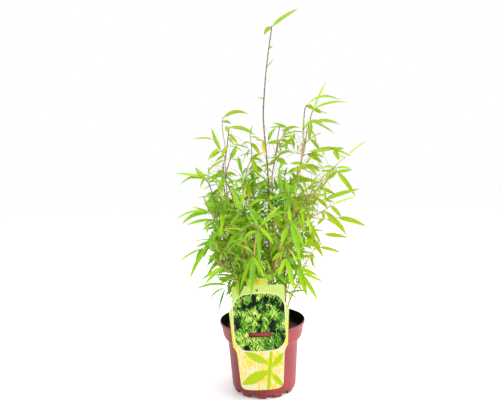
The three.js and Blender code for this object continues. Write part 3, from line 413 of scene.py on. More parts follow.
            [63.5, 300, -6], [65, 335, -4], [69, 365, -2], [75, 395, 0], [82, 420, 2], [87, 442, 4],
            [89, 461, 4], [89.5, 485, 4], [92, 510, 4], [95, 530, 4], [98, 535, 4]],
        leaves=[[0.95, 113, 523.5, 8, -8, 2.5], [1, 165, 541, 3.5, -6, 13]],
        spurs=[
            dict(route=[[89.6, 485, 4], [92, 491, -2]],
                leaves=[[1, 131, 496, 7, -10, 11], [0.6, 91.5, 513, 4, -6, 0]])],
        twigs=dict(
            a=dict(route=[[83.5, 425, 2], [90, 421, -6], [96, 420, -10]],
                leaves=[[1, 120, 405.5, 7, -10, 3], [0.7, 115, 397, 6, 6, 2.5], [1, 62, 403, 8, -8, 2.5],
                    [0.25, 61, 423, 6, -6, 1], [0.8, 105, 436, 5, 8, 1]]),
            b=dict(route=[[66, 345, -4], [64, 356, -24], [60, 364, -40]],
                leaves=[[1, 52, 392, 9, -6, 1], [1, 76, 388, 9, -8, 1], [0.8, 48, 330, 11, -12, 1],
                    [0.7, 78, 330, 10, -10, 1.5], [0.5, 88, 352, 8, -6, 1.5]]),
            c=dict(route=[[70, 372, -2], [74, 384, 10], [76, 390, 16]],
                leaves=[[1, 100, 388, 8, -8, 2.5], [1, 62, 410, 7, 4, 1], [0.7, 88, 366, 7, -8, 1.5],
                    [0.6, 50, 380, 7, 8, 1.5]]))),
    stem_09=dict(
        foot=[28, 8], radius=1.5, pale=0.7, tufts=[190, 355, 18], high=[400, 450, 2],
        route=[[36, 160, 14], [45, 210, 20], [53, 265, 26], [61, 315, 30], [71, 360, 32], [80, 400, 32],
            [86, 432, 32], [91, 452, 32], [94, 470, 32], [98, 486, 32], [103, 503, 32], [107, 518, 32],
            [112, 528, 32]],
        leaves=[[1, 138, 582, 4, -6, 0], [1, 178, 537.5, 4.5, -10, 6], [0.97, 126, 518, 7.5, -8, 1.5],
            [0.95, 139, 516, 2.5, 10, 1]],
        spurs=[
            dict(route=[[80, 402, 32], [84, 412, 52], [88, 416, 62]], spray=[5, 44, 7]),
            dict(route=[[68, 345, 31], [80, 353, 46], [92, 357, 54]], spray=[5, 42, 8]),
            dict(route=[[93, 461, 32], [99, 467, 24], [104, 471, 20]],
                leaves=[[1, 122, 444.5, 6.5, -10, 1.5], [0.8, 127, 482, 3, 10, 1]]),
            dict(route=[[101, 497, 32], [106, 500, 24], [110, 502, 18]],
                leaves=[[1, 151, 477, 4, -10, 2.5], [1, 162, 495, 6, -6, 6],
                    [0.6, 100, 462.5, 7.5, -12, 1]])],
        twigs=dict(
            a=dict(route=[[87, 437, 32], [97, 441, 20], [110, 443, 10], [124, 446, 4], [150, 448, 0]],
                leaves=[[0.9, 98, 445.5, 7, -12, 1], [0.3, 162, 449.5, 8, -10, 4],
                    [1, 168, 449, 6, -4, 1], [0.97, 157, 426.5, 10, -10, 1], [1, 181, 433.5, 4.5, 6, 1.5],
                    [0.2, 125, 421, 9.5, -10, 2.5], [0.3, 130, 431, 5, 6, 2.5],
                    [0.7, 126, 436, 3.5, -8, 1]]),
            b=dict(route=[[62, 320, 30], [70, 330, 16], [76, 336, 4]],
                leaves=[[1, 104, 331, 8, -8, 3], [0.8, 92, 360, 7, 6, 1], [0.6, 52, 344, 8, 8, 1.5],
                    [1, 84, 300, 9, -8, 1.5]]))),
    stem_10=dict(
        foot=[31, -13], radius=1.6, pale=0.6, tufts=[180, 365, 18],
        route=[[41, 180, -20], [47, 225, -26], [56, 262, -32], [66, 290, -36], [76, 310, -38],
            [84, 326, -40], [94, 346, -40], [105, 363, -40], [122, 383, -40], [141, 406, -40],
            [157, 423, -40], [172, 433.5, -40], [177, 438, -40]],
        leaves=[[1, 212, 463.5, 3.5, 4, 1], [0.7, 150, 436, 3, -8, 1]],
        spurs=[
            dict(route=[[136, 399.5, -40], [139, 400, -48]],
                leaves=[[1, 120, 394, 4.5, -8, 1.5], [0.8, 122, 374, 3, 6, -1]]),
            dict(route=[[115, 374, -40], [117, 376, -46]],
                leaves=[[1, 149, 361, 6.5, -8, 1], [0.7, 129, 381, 7, 6, 1]]),
            dict(radius=1, route=[[60, 275, -34], [71, 306, -30], [91, 350, -28], [117, 386, -28],
                [146, 414, -30]]),
            dict(radius=0.9, route=[[80, 319, -39], [98, 345, -46], [112, 368, -48], [125, 392, -48]])],
        twigs=dict(
            a=dict(route=[[148, 415.5, -40], [151, 410, -46], [153, 404, -50]],
                leaves=[[0.2, 121, 412.5, 4.5, -6, 3], [0.35, 182, 408.5, 4.5, 8, 3],
                    [1, 183, 408, 6.5, -8, 0], [1, 187, 356, 9, -14, 1.5], [0.8, 131, 388, 8.5, 11, 0],
                    [0.6, 120, 408, 5, 6, -1]]),
            b=dict(route=[[105, 363, -40], [114, 352, -50], [127, 352, -56]],
                leaves=[[1, 196, 371, 8.5, -16, 1.5], [1, 146, 345, 4.5, 6, 1], [0.2, 140, 364, 3, 12, 0],
                    [0.55, 133, 333, 7.5, -14, 2.5]]),
            c=dict(route=[[66, 290, -36], [70, 302, -52], [74, 312, -62]],
                leaves=[[1, 110, 325, 8, -8, 2.5], [0.7, 96, 345, 7, -4, 1], [0.5, 48, 318, 9, -8, 1.5],
                    [0.8, 92, 296, 7, 8, 1.5]]))),
    stem_11=dict(
        foot=[22, -18], radius=1.5, pale=0.3, tufts=[180, 365, 18],
        route=[[38, 165, -30], [45, 205, -38], [53, 245, -46], [62, 277, -54], [72, 298, -58],
            [83.5, 311, -62], [98.5, 318, -64], [119.5, 327.5, -66], [136, 338, -66], [139, 341, -66]],
        leaves=[[1, 158.5, 315, 7.5, -10, 1.5], [1, 187, 355, 2.5, 8, 1]],
        spurs=[
            dict(route=[[119.5, 327.5, -66], [127, 331, -72]],
                leaves=[[1, 169, 281, 9, -14, 1.5], [0.9, 165, 294, 6.5, 8, 1],
                    [0.5, 124, 311, 6.5, -8, 1.5]]),
            dict(route=[[84, 311.5, -62], [92, 313, -70], [96, 312, -73]],
                leaves=[[1, 119, 267, 6.5, -10, -1], [0.7, 108, 290, 5, 8, 1]])],
        twigs=dict(
            a=dict(route=[[98.5, 318, -64], [125, 314.5, -58], [153, 316.5, -56]],
                leaves=[[1, 206, 297.5, 9.5, -10, 3], [0.45, 112, 303, 6.5, -8, 1],
                    [0.6, 145, 303, 4, 6, 1]]),
            b=dict(route=[[72, 298, -58], [88, 291, -66], [106, 287, -70], [126, 285, -72]],
                leaves=[[0.3, 106, 264.5, 9, -4, 1], [1, 171, 277, 7.5, -8, 1],
                    [0.35, 122, 240, 11, -16, 1.5], [0.15, 125, 291, 4.5, 8, 1]]))),
    stem_12=dict(
        foot=[45, -22], radius=1.5, pale=0.4, tufts=[215, 330, 13],
        route=[[50, 146, -24], [52, 155, -27], [57, 166, -32], [63, 178, -38], [69, 190, -44],
            [76, 205, -50], [84, 222, -56], [92, 238, -62], [98, 250, -64], [106, 257, -66],
            [115, 261.5, -68]],
        leaves=[[1, 156, 248.5, 6.5, -8, 1.5], [0.5, 122, 270, 4, 8, 1]],
        spurs=[
            dict(route=[[90, 234, -60], [84, 243, -66]],
                leaves=[[1, 96, 247, 3, 6, 0], [0.8, 60, 236, 6, -4, 1.5]])],
        twigs=dict(
            a=dict(route=[[76, 205, -50], [76, 213, -62], [72, 222, -70]],
                leaves=[[0.5, 109, 156, 9, -14, 1], [0.5, 121.5, 192, 6.5, 8, 1.5, 0.01],
                    [1, 88, 164, 11, -16, 1], [1, 111.5, 204.5, 7.5, -4, 1.5, 0.01],
                    [1, 99, 224, 3.5, 10, 1]]))),
    stem_13=dict(
        foot=[-19, -17], radius=1.2, tufts=[155, 330, 26],
        route=[[-24, 160, -36], [-31, 195, -50], [-42, 222, -60], [-54, 231, -64], [-63, 240, -66],
            [-80, 260, -68], [-90, 273, -68], [-93, 279, -68]],
        leaves=[[0.9, -138, 203, 9, -12, 5], [1, -124, 267.5, 6.5, -6, 1.5]],
        twigs=dict(
            a=dict(route=[[-88, 270, -68], [-102, 268, -64], [-116, 264, -62]],
                leaves=[[1, -125, 240, 4.5, 4, 1], [1, -158, 239.5, 4.5, -8, 1.5],
                    [0.9, -126, 236.5, 5, -6, 1], [0.8, -117, 249, 3.5, 8, 1]]),
            b=dict(route=[[-63, 240, -66], [-72, 250, -58], [-78, 255, -52]],
                leaves=[[0.8, -100.5, 215, 6, -4, 1], [1, -92, 223, 6, 6, 1.5],
                    [1, -104, 230, 8, -8, 2.5], [1, -98, 262, 7, 6, 1.5], [0.5, -62, 262, 7, -6, 1],
                    [0.6, -106, 209, 6, 10, 2], [0.7, -50, 250, 7, -8, 1.5]]))),
    stem_14=dict(
        foot=[-28, -12], radius=1.2, pale=0.3, tufts=[150, 320, 26], high=[170, 230, 7],
        route=[[-34, 165, -34], [-42, 195, -52], [-52, 214, -66], [-62, 221, -76], [-72, 227, -84],
            [-75, 230, -86]],
        leaves=[[1, -109.5, 195, 8, -10, 1], [0.9, -118.5, 202, 4.5, 8, 1], [0.6, -88, 222, 8, 4, 1.5],
            [0.8, -104, 213, 5, -14, 1], [0.4, -70, 246, 7, 4, 1]],
        twigs=dict(
            a=dict(route=[[-46, 202, -57], [-56, 203, -66], [-62, 196, -72], [-70, 186, -76]],
                leaves=[[0.35, -86, 208, 6, -6, 1], [0.45, -87, 203, 4.5, 8, 1],
                    [0.8, -130, 184, 5.5, -8, 6], [1, -102, 159.5, 3.5, -6, 6],
                    [1, -86, 133, 4, -4, 1, -1], [0.7, -61, 172, 6, 6, 0], [0, -70.5, 170, 7, -14, 1]]))),
    stem_15=dict(
        foot=[-6, -20], radius=1.4, tufts=[165, 300, 14],
        route=[[-8, 160, -40], [-11, 200, -62], [-12, 240, -84], [-9, 275, -100], [-3, 298, -110],
            [2, 306, -112]],
        leaves=[[0.72, -3, 217, 9, -8, 1], [0.6, -30, 278, 7, 4, 5], [0.88, 26, 268, 8, -6, 2.5],
            [1, 24, 318, 6, 4, 2.5], [0.8, -18, 334, 7, 4, 1]],
        spurs=[
            dict(route=[[-11, 205, -64], [-4, 212, -80]],
                leaves=[[1, 22, 200, 8, -6, 2.5], [0.8, -30, 200, 7, 3, 1.5], [1, 4, 236, 7, 4, 1]])],
        twigs=dict(
            a=dict(route=[[-12, 243, -85], [-16, 247, -94]],
                leaves=[[1, -21, 167, 10, -12, 1], [0.8, -41, 183, 7, -6, 1.5], [0.8, 6, 205, 8, -2, 1.5],
                    [0.5, -36, 222, 8, 6, 2.5]]))),
    stem_16=dict(
        foot=[10, -20], radius=1.4, tufts=[165, 300, 14],
        route=[[14, 160, -36], [22, 205, -56], [34, 250, -78], [46, 285, -94], [56, 305, -104],
            [62, 312, -108]],
        leaves=[[1, 77, 231.5, 13, -10, 1], [1, 84, 262, 9, 8, 1.5], [0.6, 40, 262, 9, -4, 1.5],
            [0.5, 88, 308, 8, -2, 3], [1, 58, 344, 8, 4, 1]],
        spurs=[
            dict(route=[[22, 205, -56], [30, 214, -72]],
                leaves=[[1, 48, 192, 9, -8, 1.5], [1, 10, 192, 8, -4, 1.5], [0.8, 44, 228, 7, 4, 1]])],
        twigs=dict(
            a=dict(route=[[36, 254, -80], [46, 250, -92], [50, 240, -98]],
                leaves=[[1, 33, 207, 8, -8, 1], [1, 62, 179, 12, -8, 1], [0.6, 64, 226, 8, 10, 1.5],
                    [0.4, 22, 236, 8, -4, 1.5]]))),
    stem_17=dict(
        foot=[2, 22], radius=1.5, pale=0.4, tufts=[160, 350, 34], spray=[5, 52, 7],
        route=[[0, 170, 50], [-4, 240, 80], [-6, 300, 104], [-8, 350, 120], [-10, 390, 128]],
        spurs=[
            dict(route=[[-6, 310, 106], [-18, 318, 118], [-30, 322, 130]], spray=[6, 46, 8]),
            dict(route=[[-8, 350, 120], [6, 358, 126], [16, 361, 134]], spray=[5, 42, 6]),
            dict(route=[[-2, 205, 66], [-12, 212, 84], [-16, 216, 98]], spray=[5, 46, 9])],
        twigs=dict(
            a=dict(route=[[-4, 240, 80], [8, 250, 96], [18, 256, 108]], spray=[6, 50, 9]))),
    stem_18=dict(
        foot=[14, 24], radius=1.5, pale=0.4, tufts=[160, 350, 34], spray=[5, 52, 7],
        route=[[26, 180, 52], [42, 250, 80], [56, 310, 100], [66, 360, 112], [70, 395, 116]],
        spurs=[
            dict(route=[[56, 310, 100], [46, 322, 112], [38, 328, 124]], spray=[5, 46, 8]),
            dict(route=[[64, 345, 108], [78, 354, 106], [90, 358, 104]], spray=[5, 46, 7]),
            dict(route=[[34, 214, 66], [44, 220, 86], [48, 224, 100]], spray=[5, 46, 9])],
        twigs=dict(
            a=dict(route=[[42, 250, 80], [60, 262, 88], [76, 270, 94]], spray=[6, 50, 9]))),
    stem_19=dict(
        foot=[-12, 25], radius=1.4, tufts=[160, 325, 34], spray=[6, 50, 7],
        route=[[-24, 180, 50], [-42, 250, 76], [-58, 310, 94], [-66, 350, 100]],
        spurs=[
            dict(route=[[-42, 250, 76], [-58, 258, 88], [-70, 262, 98]], spray=[6, 48, 9]),
            dict(route=[[-52, 288, 88], [-48, 298, 106], [-44, 302, 118]], spray=[5, 46, 8]),
            dict(route=[[-30, 205, 60], [-42, 211, 76], [-50, 214, 86]], spray=[5, 44, 9])]))

growth = dict(
    seed=40,
    rootEnd=96.5,  # height of a cane's lower end, in the soil
    ground=111.5,  # height of the first point of a cane's route
    leafyEnd=30,  # the length of a cane's end that its own leaves are spread along
    leafRoot=1.5,
    bladeShare=0.12,  # a leaf's least width, as a share of its length
    widestBlade=9.5,
    twigRadius=0.7,
    stalkRadius=0.34,
    caneSides=9,
    caneTaper=0.6,
    joint=dict(
        gap=(26, 52), closer=0.4, sheaths=(0, 0, 0.5, 1), covered=(0.35, 0.75), sheathSwell=0.12,
        marks=[(0, 1.22, 0), (0.8, 1.3, 1), (1.8, 1.06, 1), (3, 1, 0)]),  # [distance, swell, band]
    twigJoint=dict(gap=5, swell=1.25, sheath=0.5, taper=0.35),
    tones=dict(cane=(0, 0.2), twig=0.45, stalk=0.6, thin=(0.5, 1)),  # how pale each kind is
    tints=dict(leaf=(0, 0.75), tuft=(-0.1, 1.25)),  # from dark to bright green
    twists=dict(leaf=0.3, tuft=0.6),
    spray=dict(step=0.12, firstTurn=12, nextTurn=15, width=7, arch=6, rise=6),
    tuft=dict(
        nextTurn=137.5, swing=30, twig=(8, 40), climb=(0, 62), bow=1, leaves=(3, 4, 4, 5), backShare=0.4,
        tallShare=0.3, tallTwig=(35, 90), tallClimb=(58, 82), tallBow=3, tallSpots=(0.85, 0.7, 0.55, 0.4)),
    fan=dict(
        firstTurn=10, nextTurn=17, swing=20, climb=(-65, 45), length=(13, 54, 22), slim=(0.12, 0.19),
        lean=0.6, arch=(0.03, 0.1)),
    shoot=dict(count=5, start=(114, 290), spread=(0.04, 0.3), length=(60, 150), bow=(1, 6), radius=0.55),
    whisker=dict(
        count=9, lowest=300, highest=470, climb=(-10, 85), length=(25, 80), bow=(2, 14), radius=0.34),
    # How far the thick of the leaves reaches to the left and right: [height, left, right].
    outline=[(120, -40, 60), (182, -84, 98), (221, -114, 104), (259, -116, 115), (298, -96, 112),
        (336, -118, 128), (375, -90, 150), (413, -108, 158), (452, -82, 145), (490, -62, 106),
        (540, -40, 100), (730, 10, 40)],
)


def reachAt(y):  # a thing's true size this far back, as a share of its size as seen on the plane
    eye = photoView["eye"]
    return (y - eye.y) / -eye.y


def seen(x, z, y):
    eye = photoView["eye"]
    reach = reachAt(y)
    return Vector((eye.x + (x - eye.x) * reach, y, eye.z + (z - eye.z) * reach))


def pathLength(points):
    return sum((b - a).length for a, b in zip(points, points[1:]))


def pointAt(points, distance):
    for a, b in zip(points, points[1:]):
        step = (b - a).length
        if distance <= step:
            return a.lerp(b, distance / step)
        distance -= step
    return points[-1].copy()


def atHeight(points, height):
    return min(points, key=lambda spot: abs(spot.z - height))


def leafSpot(points, share):
    whole = pathLength(points)
    return pointAt(points, min(share * whole, whole - growth["leafRoot"]))


def endOf(points, length):
    start = pathLength(points) - length
    steps = 12
    return [pointAt(points, start + length * i / steps) for i in range(steps + 1)]


def nearestOn(points, target):
    spots = []
    for a, b in zip(points, points[1:]):
        spot, share = geometry.intersect_point_line(target, a, b)
        spots.append(a.lerp(b, min(max(share, 0), 1)))
    return min(spots, key=lambda spot: (spot - target).length)


def between(a, b, c, d, share):  # one point of a smooth curve from b to c
    knots = [0]
    for p, q in ((a, b), (b, c), (c, d)):
        knots.append(knots[-1] + math.sqrt((q - p).length))
    t0, t1, t2, t3 = knots
    t = t1 + (t2 - t1) * share
    ab = a.lerp(b, (t - t0) / (t1 - t0))
    bc = b.lerp(c, (t - t1) / (t2 - t1))
    cd = c.lerp(d, (t - t2) / (t3 - t2))
    early = ab.lerp(bc, (t - t0) / (t2 - t0))
    late = bc.lerp(cd, (t - t1) / (t3 - t1))
    return early.lerp(late, (t - t1) / (t2 - t1))


def smoothPath(points, steps):
    ends = [points[0] * 2 - points[1], *points, points[-1] * 2 - points[-2]]
    curve = []
    for four in zip(ends, ends[1:], ends[2:], ends[3:]):
        curve += [between(*four, i / steps) for i in range(steps)]
    return curve + [points[-1].copy()]


def canePath(cane):
    start = Vector((*cane["foot"], growth["ground"]))
    curve = smoothPath([start] + [seen(*spot) for spot in cane["route"]], 8)
    return [Vector((*cane["foot"], growth["rootEnd"]))] + curve


def swing(luck, most):  # to either side
    return luck.uniform(-most, most)


def addLeaf(leaves, base, tip, seenWidth, arch, luck, age=0):
    spine = tip - base
    along = spine.normalized()
    across = along.cross((base + tip) / 2 - photoView["eye"]).normalized()
    trueWidth = seenWidth * reachAt(base.y)
    width = min(max(trueWidth, growth["bladeShare"] * spine.length), growth["widestBlade"])
    turn = math.acos(min(1, trueWidth / width))  # a leaf that looks too narrow is turned aside
    side = across * math.cos(turn) + along.cross(across) * math.sin(turn)
    face = side.cross(along).normalized()
    if face.z < 0:
        face.negate()
        side.negate()
    rise = Vector((0, 0, 1)) - along * along.z
    if rise.length < 0.3:
        rise = across
    leaves.append(dict(
        base=base, spine=spine, side=side * width / 2, face=face, rise=rise.normalized() * arch,
        tint=luck.uniform(*growth["tints"]["leaf"]) if age >= 0 else age,
        age=age if age > 0 else luck.random() ** 10,  # few of the others are old
        twist=swing(luck, growth["twists"]["leaf"]), phase=luck.uniform(0, 6.3)))


def addTuftLeaf(leaves, base, way, length, width, luck):
    side = way.cross(Vector((0, 0, 1))).normalized()
    lean = swing(luck, growth["fan"]["lean"])
    face = side.cross(way)
    cosine, sine = math.cos(lean), math.sin(lean)
    side, face = side * cosine + face * sine, face * cosine - side * sine
    leaves.append(dict(
        base=base, spine=way * length, side=side * width / 2, face=face,
        rise=face * length * luck.uniform(*growth["fan"]["arch"]),
        tint=luck.uniform(*growth["tints"]["tuft"]), age=luck.random() ** 10,
        twist=swing(luck, growth["twists"]["tuft"]), phase=luck.uniform(0, 6.3)))


def addSpray(leaves, path, spray, luck):
    form = growth["spray"]
    count, length, droop = spray
    way = path[-1] - path[-2]
    outwards = math.atan2(way.y, way.x)
    for i in range(count):
        base = leafSpot(path, 1 - form["step"] * i)
        turn = math.radians(form["firstTurn"] + form["nextTurn"] * i)
        azimuth = outwards + (-turn if i % 2 else turn)
        level = length * (1 - 0.06 * (i % 3))
        sink = droop * (1 + i % 3) - form["rise"]
        tip = base + Vector((level * math.cos(azimuth), level * math.sin(azimuth), -sink))
        addLeaf(leaves, base, tip, form["width"], form["arch"], luck)


def addGrowth(leaves, path, twig, luck):
    for share, x, z, width, back, arch, *age in twig.get("leaves", []):
        base = leafSpot(path, share)
        addLeaf(leaves, base, seen(x, z, base.y + back), width, arch, luck, *age)
    if "spray" in twig:
        addSpray(leaves, path, twig["spray"], luck)


def addStrays(leaves, path, strays, luck):
    for height, x, z, width, back, arch in strays:
        base = atHeight(path, height)
        addLeaf(leaves, base, seen(x, z, base.y + back), width, arch, luck)


def withinPlant(spot):  # inside the plant's box, and its outline as the photograph shows it
    low, high = [Vector(corner) / mm for corner in cadBox]
    if not all(a + 1 < b < c - 1 for a, b, c in zip(low, spot, high)):
        return False
    eye = photoView["eye"]
    reach = reachAt(spot.y)
    x, z = eye.x + (spot.x - eye.x) / reach, eye.z + (spot.z - eye.z) / reach
    outline = growth["outline"]
    for (below, leftA, rightA), (above, leftB, rightB) in zip(outline, outline[1:]):
        if below <= z < above:
            share = (z - below) / (above - below)
            return leftA + (leftB - leftA) * share < x < rightA + (rightB - rightA) * share
    return False


def heading(azimuth, climb=0):
    level = math.cos(climb)
    return Vector((math.cos(azimuth) * level, math.sin(azimuth) * level, math.sin(climb)))


def addFan(leaves, spots, azimuth, luck):  # small leaves that turn to one side and the other
    form = growth["fan"]
    for k, spot in enumerate(spots):
        turn = (-1) ** k * (form["firstTurn"] + form["nextTurn"] * k) + swing(luck, form["swing"])
        way = heading(azimuth + math.radians(turn), math.radians(luck.uniform(*form["climb"])))
        length = luck.triangular(*form["length"])
        if withinPlant(spot + way * length):
            addTuftLeaf(leaves, spot, way, length, length * luck.uniform(*form["slim"]), luck)


def addTufts(leaves, twigs, path, tufts, luck):
    form = growth["tuft"]
    lowest, highest, count = tufts
    for i in range(count):
        base = atHeight(path, lowest + (highest - lowest) * (i + luck.random()) / count)
        azimuth = math.radians(form["nextTurn"] * i + swing(luck, form["swing"]))
        if luck.random() < form["backShare"]:
            azimuth = abs(math.remainder(azimuth, math.tau))
        tall = luck.random() < form["tallShare"]
        climb = math.radians(luck.uniform(*form["tallClimb" if tall else "climb"]))
        end = base + heading(azimuth, climb) * luck.uniform(*form["tallTwig" if tall else "twig"])
        if not withinPlant(end):
            continue
        bend = base.lerp(end, 0.4) + heading(azimuth) * form["tallBow" if tall else "bow"]
        twigs.append(smoothPath([base, bend, end], 4))
        spots = [end] * luck.choice(form["leaves"])
        if tall:
            spots += [leafSpot(twigs[-1], share) for share in form["tallSpots"]]
        addFan(leaves, spots, azimuth, luck)


def addShoots(leaves, twigs, path, luck):  # thin upright branches close to their cane
    form = growth["shoot"]
    for i in range(form["count"]):
        height = luck.uniform(*form["start"])
        near = min(range(1, len(path)), key=lambda k: abs(path[k].z - height))
        base = path[near]
        azimuth = luck.uniform(0, math.tau)
        way = (base - path[near - 1]).normalized() + heading(azimuth) * luck.uniform(*form["spread"])
        end = base + way.normalized() * luck.uniform(*form["length"])
        if withinPlant(end):
            bend = base.lerp(end, 0.45) + heading(azimuth) * luck.uniform(*form["bow"])
            twigs.append(smoothPath([base, bend, end], 5))
            addFan(leaves, [end] * 3, azimuth, luck)


def addWhiskers(twigs, path, luck):  # bare thin twigs high on a cane
    form = growth["whisker"]
    top = min(path[-1].z, form["highest"])
    for i in range(form["count"]):
        base = atHeight(path, luck.uniform(min(form["lowest"], top - 60), top - 10))
        azimuth = luck.uniform(0, math.tau)
        way = heading(azimuth, math.radians(luck.uniform(*form["climb"])))
        end = base + way * luck.uniform(*form["length"])
        if withinPlant(end):
            bend = base.lerp(end, 0.5) + Vector((0, 0, luck.uniform(*form["bow"])))
            twigs.append(smoothPath([base, bend, end], 4))


# A bar's rings: [distance, radius, sheath, band, tone].
def caneRings(length, radius, luck, tone):
    form = growth["joint"]
    rings = []
    luck.random()  # a spare draw, which the later ones are in step with
    start = 0
    while start < length:
        size = luck.uniform(*form["gap"]) * (1 - form["closer"] * start / length)
        sheath = luck.choice(form["sheaths"]) * luck.uniform(0.7, 1)
        covered = size * luck.uniform(*form["covered"])
        for place, swell, band in form["marks"] + [(covered * k / 3, 1, 0) for k in (1, 2)]:
            rings.append([start + place, swell + form["sheathSwell"] * (sheath > 0), sheath, band])
        rings.append([start + covered, 1.1 if sheath else 1, sheath, 0])
        rings.append([start + covered + 0.5, 1, 0, 0])
        rings.append([start + (covered + size) / 2, 1, 0, 0])
        start += size
    rings = sorted(ring for ring in rings if ring[0] < length - 0.5)
    rings.append([length, 1, 0, 0])
    thinner = 1 - growth["caneTaper"]
    return [[at, radius * swell * (1 - thinner * at / length), sheath, band, tone * (0.5 + at / length)]
            for at, swell, sheath, band in rings]


def twigRings(length, radius, tone):
    form = growth["twigJoint"]
    count = max(3, round(length / form["gap"]))
    rings = []
    for i in range(count + 1):
        swell = form["swell"] if i % 2 else 1
        thin = 1 - form["taper"] * i / count
        rings.append([length * i / count, radius * swell * thin, form["sheath"] * (i % 2), 0, tone])
    return rings


def addBar(bars, path, rings):
    bars.append(([pointAt(path, ring[0]) for ring in rings], rings))


def addTwig(bars, path, radius, tone):
    addBar(bars, path, twigRings(pathLength(path), radius, tone))


def barMesh(name, bars):  # every bar as a row of edges, with its rings as attributes
    points, edges, rings = [], [], []
    for spots, own in bars:
        edges += [(len(points) + i, len(points) + i + 1) for i in range(len(spots) - 1)]
        points += spots
        rings += own
    mesh = bpy.data.meshes.new(name)
    mesh.from_pydata([tuple(p * mm) for p in points], edges, [])
    _, radius, sheath, band, tone = zip(*rings)
    thickness = [value * mm for value in radius]
    storeAttributes(mesh, dict(thickness=thickness, sheath=sheath, band=band, tone=tone))
    return mesh


def leafMesh(name, leaves):  # every leaf as a point, with its directions as attributes
    mesh = bpy.data.meshes.new(name)
    mesh.from_pydata([tuple(leaf["base"] * mm) for leaf in leaves], [], [])
    columns = {key: [leaf[key] * mm for leaf in leaves] for key in ("base", "spine", "side", "rise")}
    for key in ("face", "tint", "age", "twist", "phase"):
        columns[key] = [leaf[key] for leaf in leaves]
    storeAttributes(mesh, columns)
    return mesh


# Leaves: one blank, placed on every point of a leaf mesh and bent along its spine.
leafForm = dict(
    rows=((0.02, 0.1), (0.05, 0.3), (0.1, 0.58), (0.18, 0.84), (0.28, 0.98), (0.4, 1), (0.52, 0.95),
        (0.64, 0.83), (0.76, 0.63), (0.86, 0.4), (0.94, 0.18)),  # [along, share of the full width]
    fold=0.32,  # how far the edges stand above the midrib, as a share of half the width
    depth=0.13,  # half the thickness at the midrib, in mm
    wave=0.22,  # how far the edges wave up and down, in mm
    transparency=0.46,
)


def leafBlank():
    ring = ((-1, 0), (0, 1), (1, 0), (0, -1))
    spots = [(0, 0, 0, 0)]
    faces = []
    for along, fullness in leafForm["rows"]:
        spots += [(across, along, layer, fullness) for across, layer in ring]
    spots.append((0, 1, 0, 0))
    last = len(spots) - 1
    size = len(ring)
    for i in range(size):
        k = (i + 1) % size
        faces += [(0, 1 + k, 1 + i), (last - size + i, last - size + k, last)]
        for start in range(1, last - size, size):
            faces.append((start + i, start + k, start + size + k, start + size + i))
    mesh = bpy.data.meshes.new("leafBlank")
    mesh.from_pydata([spot[:3] for spot in spots], [], faces)
    for edge in mesh.edges:
        edge.use_edge_sharp = all(spots[v][2] == 0 for v in edge.vertices)
    columns = zip(("across", "along", "layer", "fullness"), zip(*spots))
    storeAttributes(mesh, dict(columns))
    return makeObject("leafBlank", mesh)


def leafTree():
    inputs = dict(Blank="Object", Fold="Float", Depth="Float", Wave="Float", Material="Material")
    board, given = newTree("leafGrower", inputs)
    blank = board.add("GeometryNodeObjectInfo", {"Object": given.out("Blank")}, "Geometry")
    spots = board.add("GeometryNodeInstanceOnPoints", {"Points": given, "Instance": blank})
    leaves = board.add("GeometryNodeRealizeInstances", {"Geometry": spots})
    base, spine, side, rise, face = [
        board.named(name, "FLOAT_VECTOR") for name in ("base", "spine", "side", "rise", "face")]
    along, across, fullness, layer, twist, phase = [
        board.named(name, "FLOAT") for name in ("along", "across", "fullness", "layer", "twist", "phase")]
    turn = twist * along
    half = board.size(side)
    cosine, sine = board.calc("COSINE", turn), board.calc("SINE", turn)
    sideways = side * cosine + face * (sine * half)
    upwards = face * cosine - side * (sine / half)
    arch = rise * (4 * along * (1 - along))
    fold = board.size(across) * fullness * half * given.out("Fold")
    sheet = layer * given.out("Depth") * (1 - across * across)
    wave = board.calc("SINE", along * 9 + phase) * across * fullness * given.out("Wave")
    place = base + spine * along + arch + sideways * (across * fullness) + upwards * (fold + sheet + wave)
    leaves = board.add("GeometryNodeSetPosition", {"Geometry": leaves, "Position": place})
    return endTree(board, leaves, given.out("Material"))


# Canes and twigs: rows of edges with a thickness at each point, made into round bars.
def barTree():
    board, given = newTree("barGrower", dict(Sides="Int", Material="Material"))
    curve = board.add("GeometryNodeMeshToCurve", {"Mesh": given})
    ring = board.add("GeometryNodeCurvePrimitiveCircle", {"Resolution": given.out("Sides"), "Radius": 1})
    thickness = board.named("thickness", "FLOAT")
    bars = board.add("GeometryNodeCurveToMesh", {
        "Curve": curve, "Profile Curve": ring, "Scale": thickness, "Fill Caps": True})
    return endTree(board, bars, given.out("Material"))


leafLook = screenColours(
    dark="3a7628", deep="66b432", fresh="aad624", bright="c8dc2c", old="f2d824", dry="c47e20",
    rib="c8de54", under="98cc4a", glow="aed010", crown="b2b40e",
)


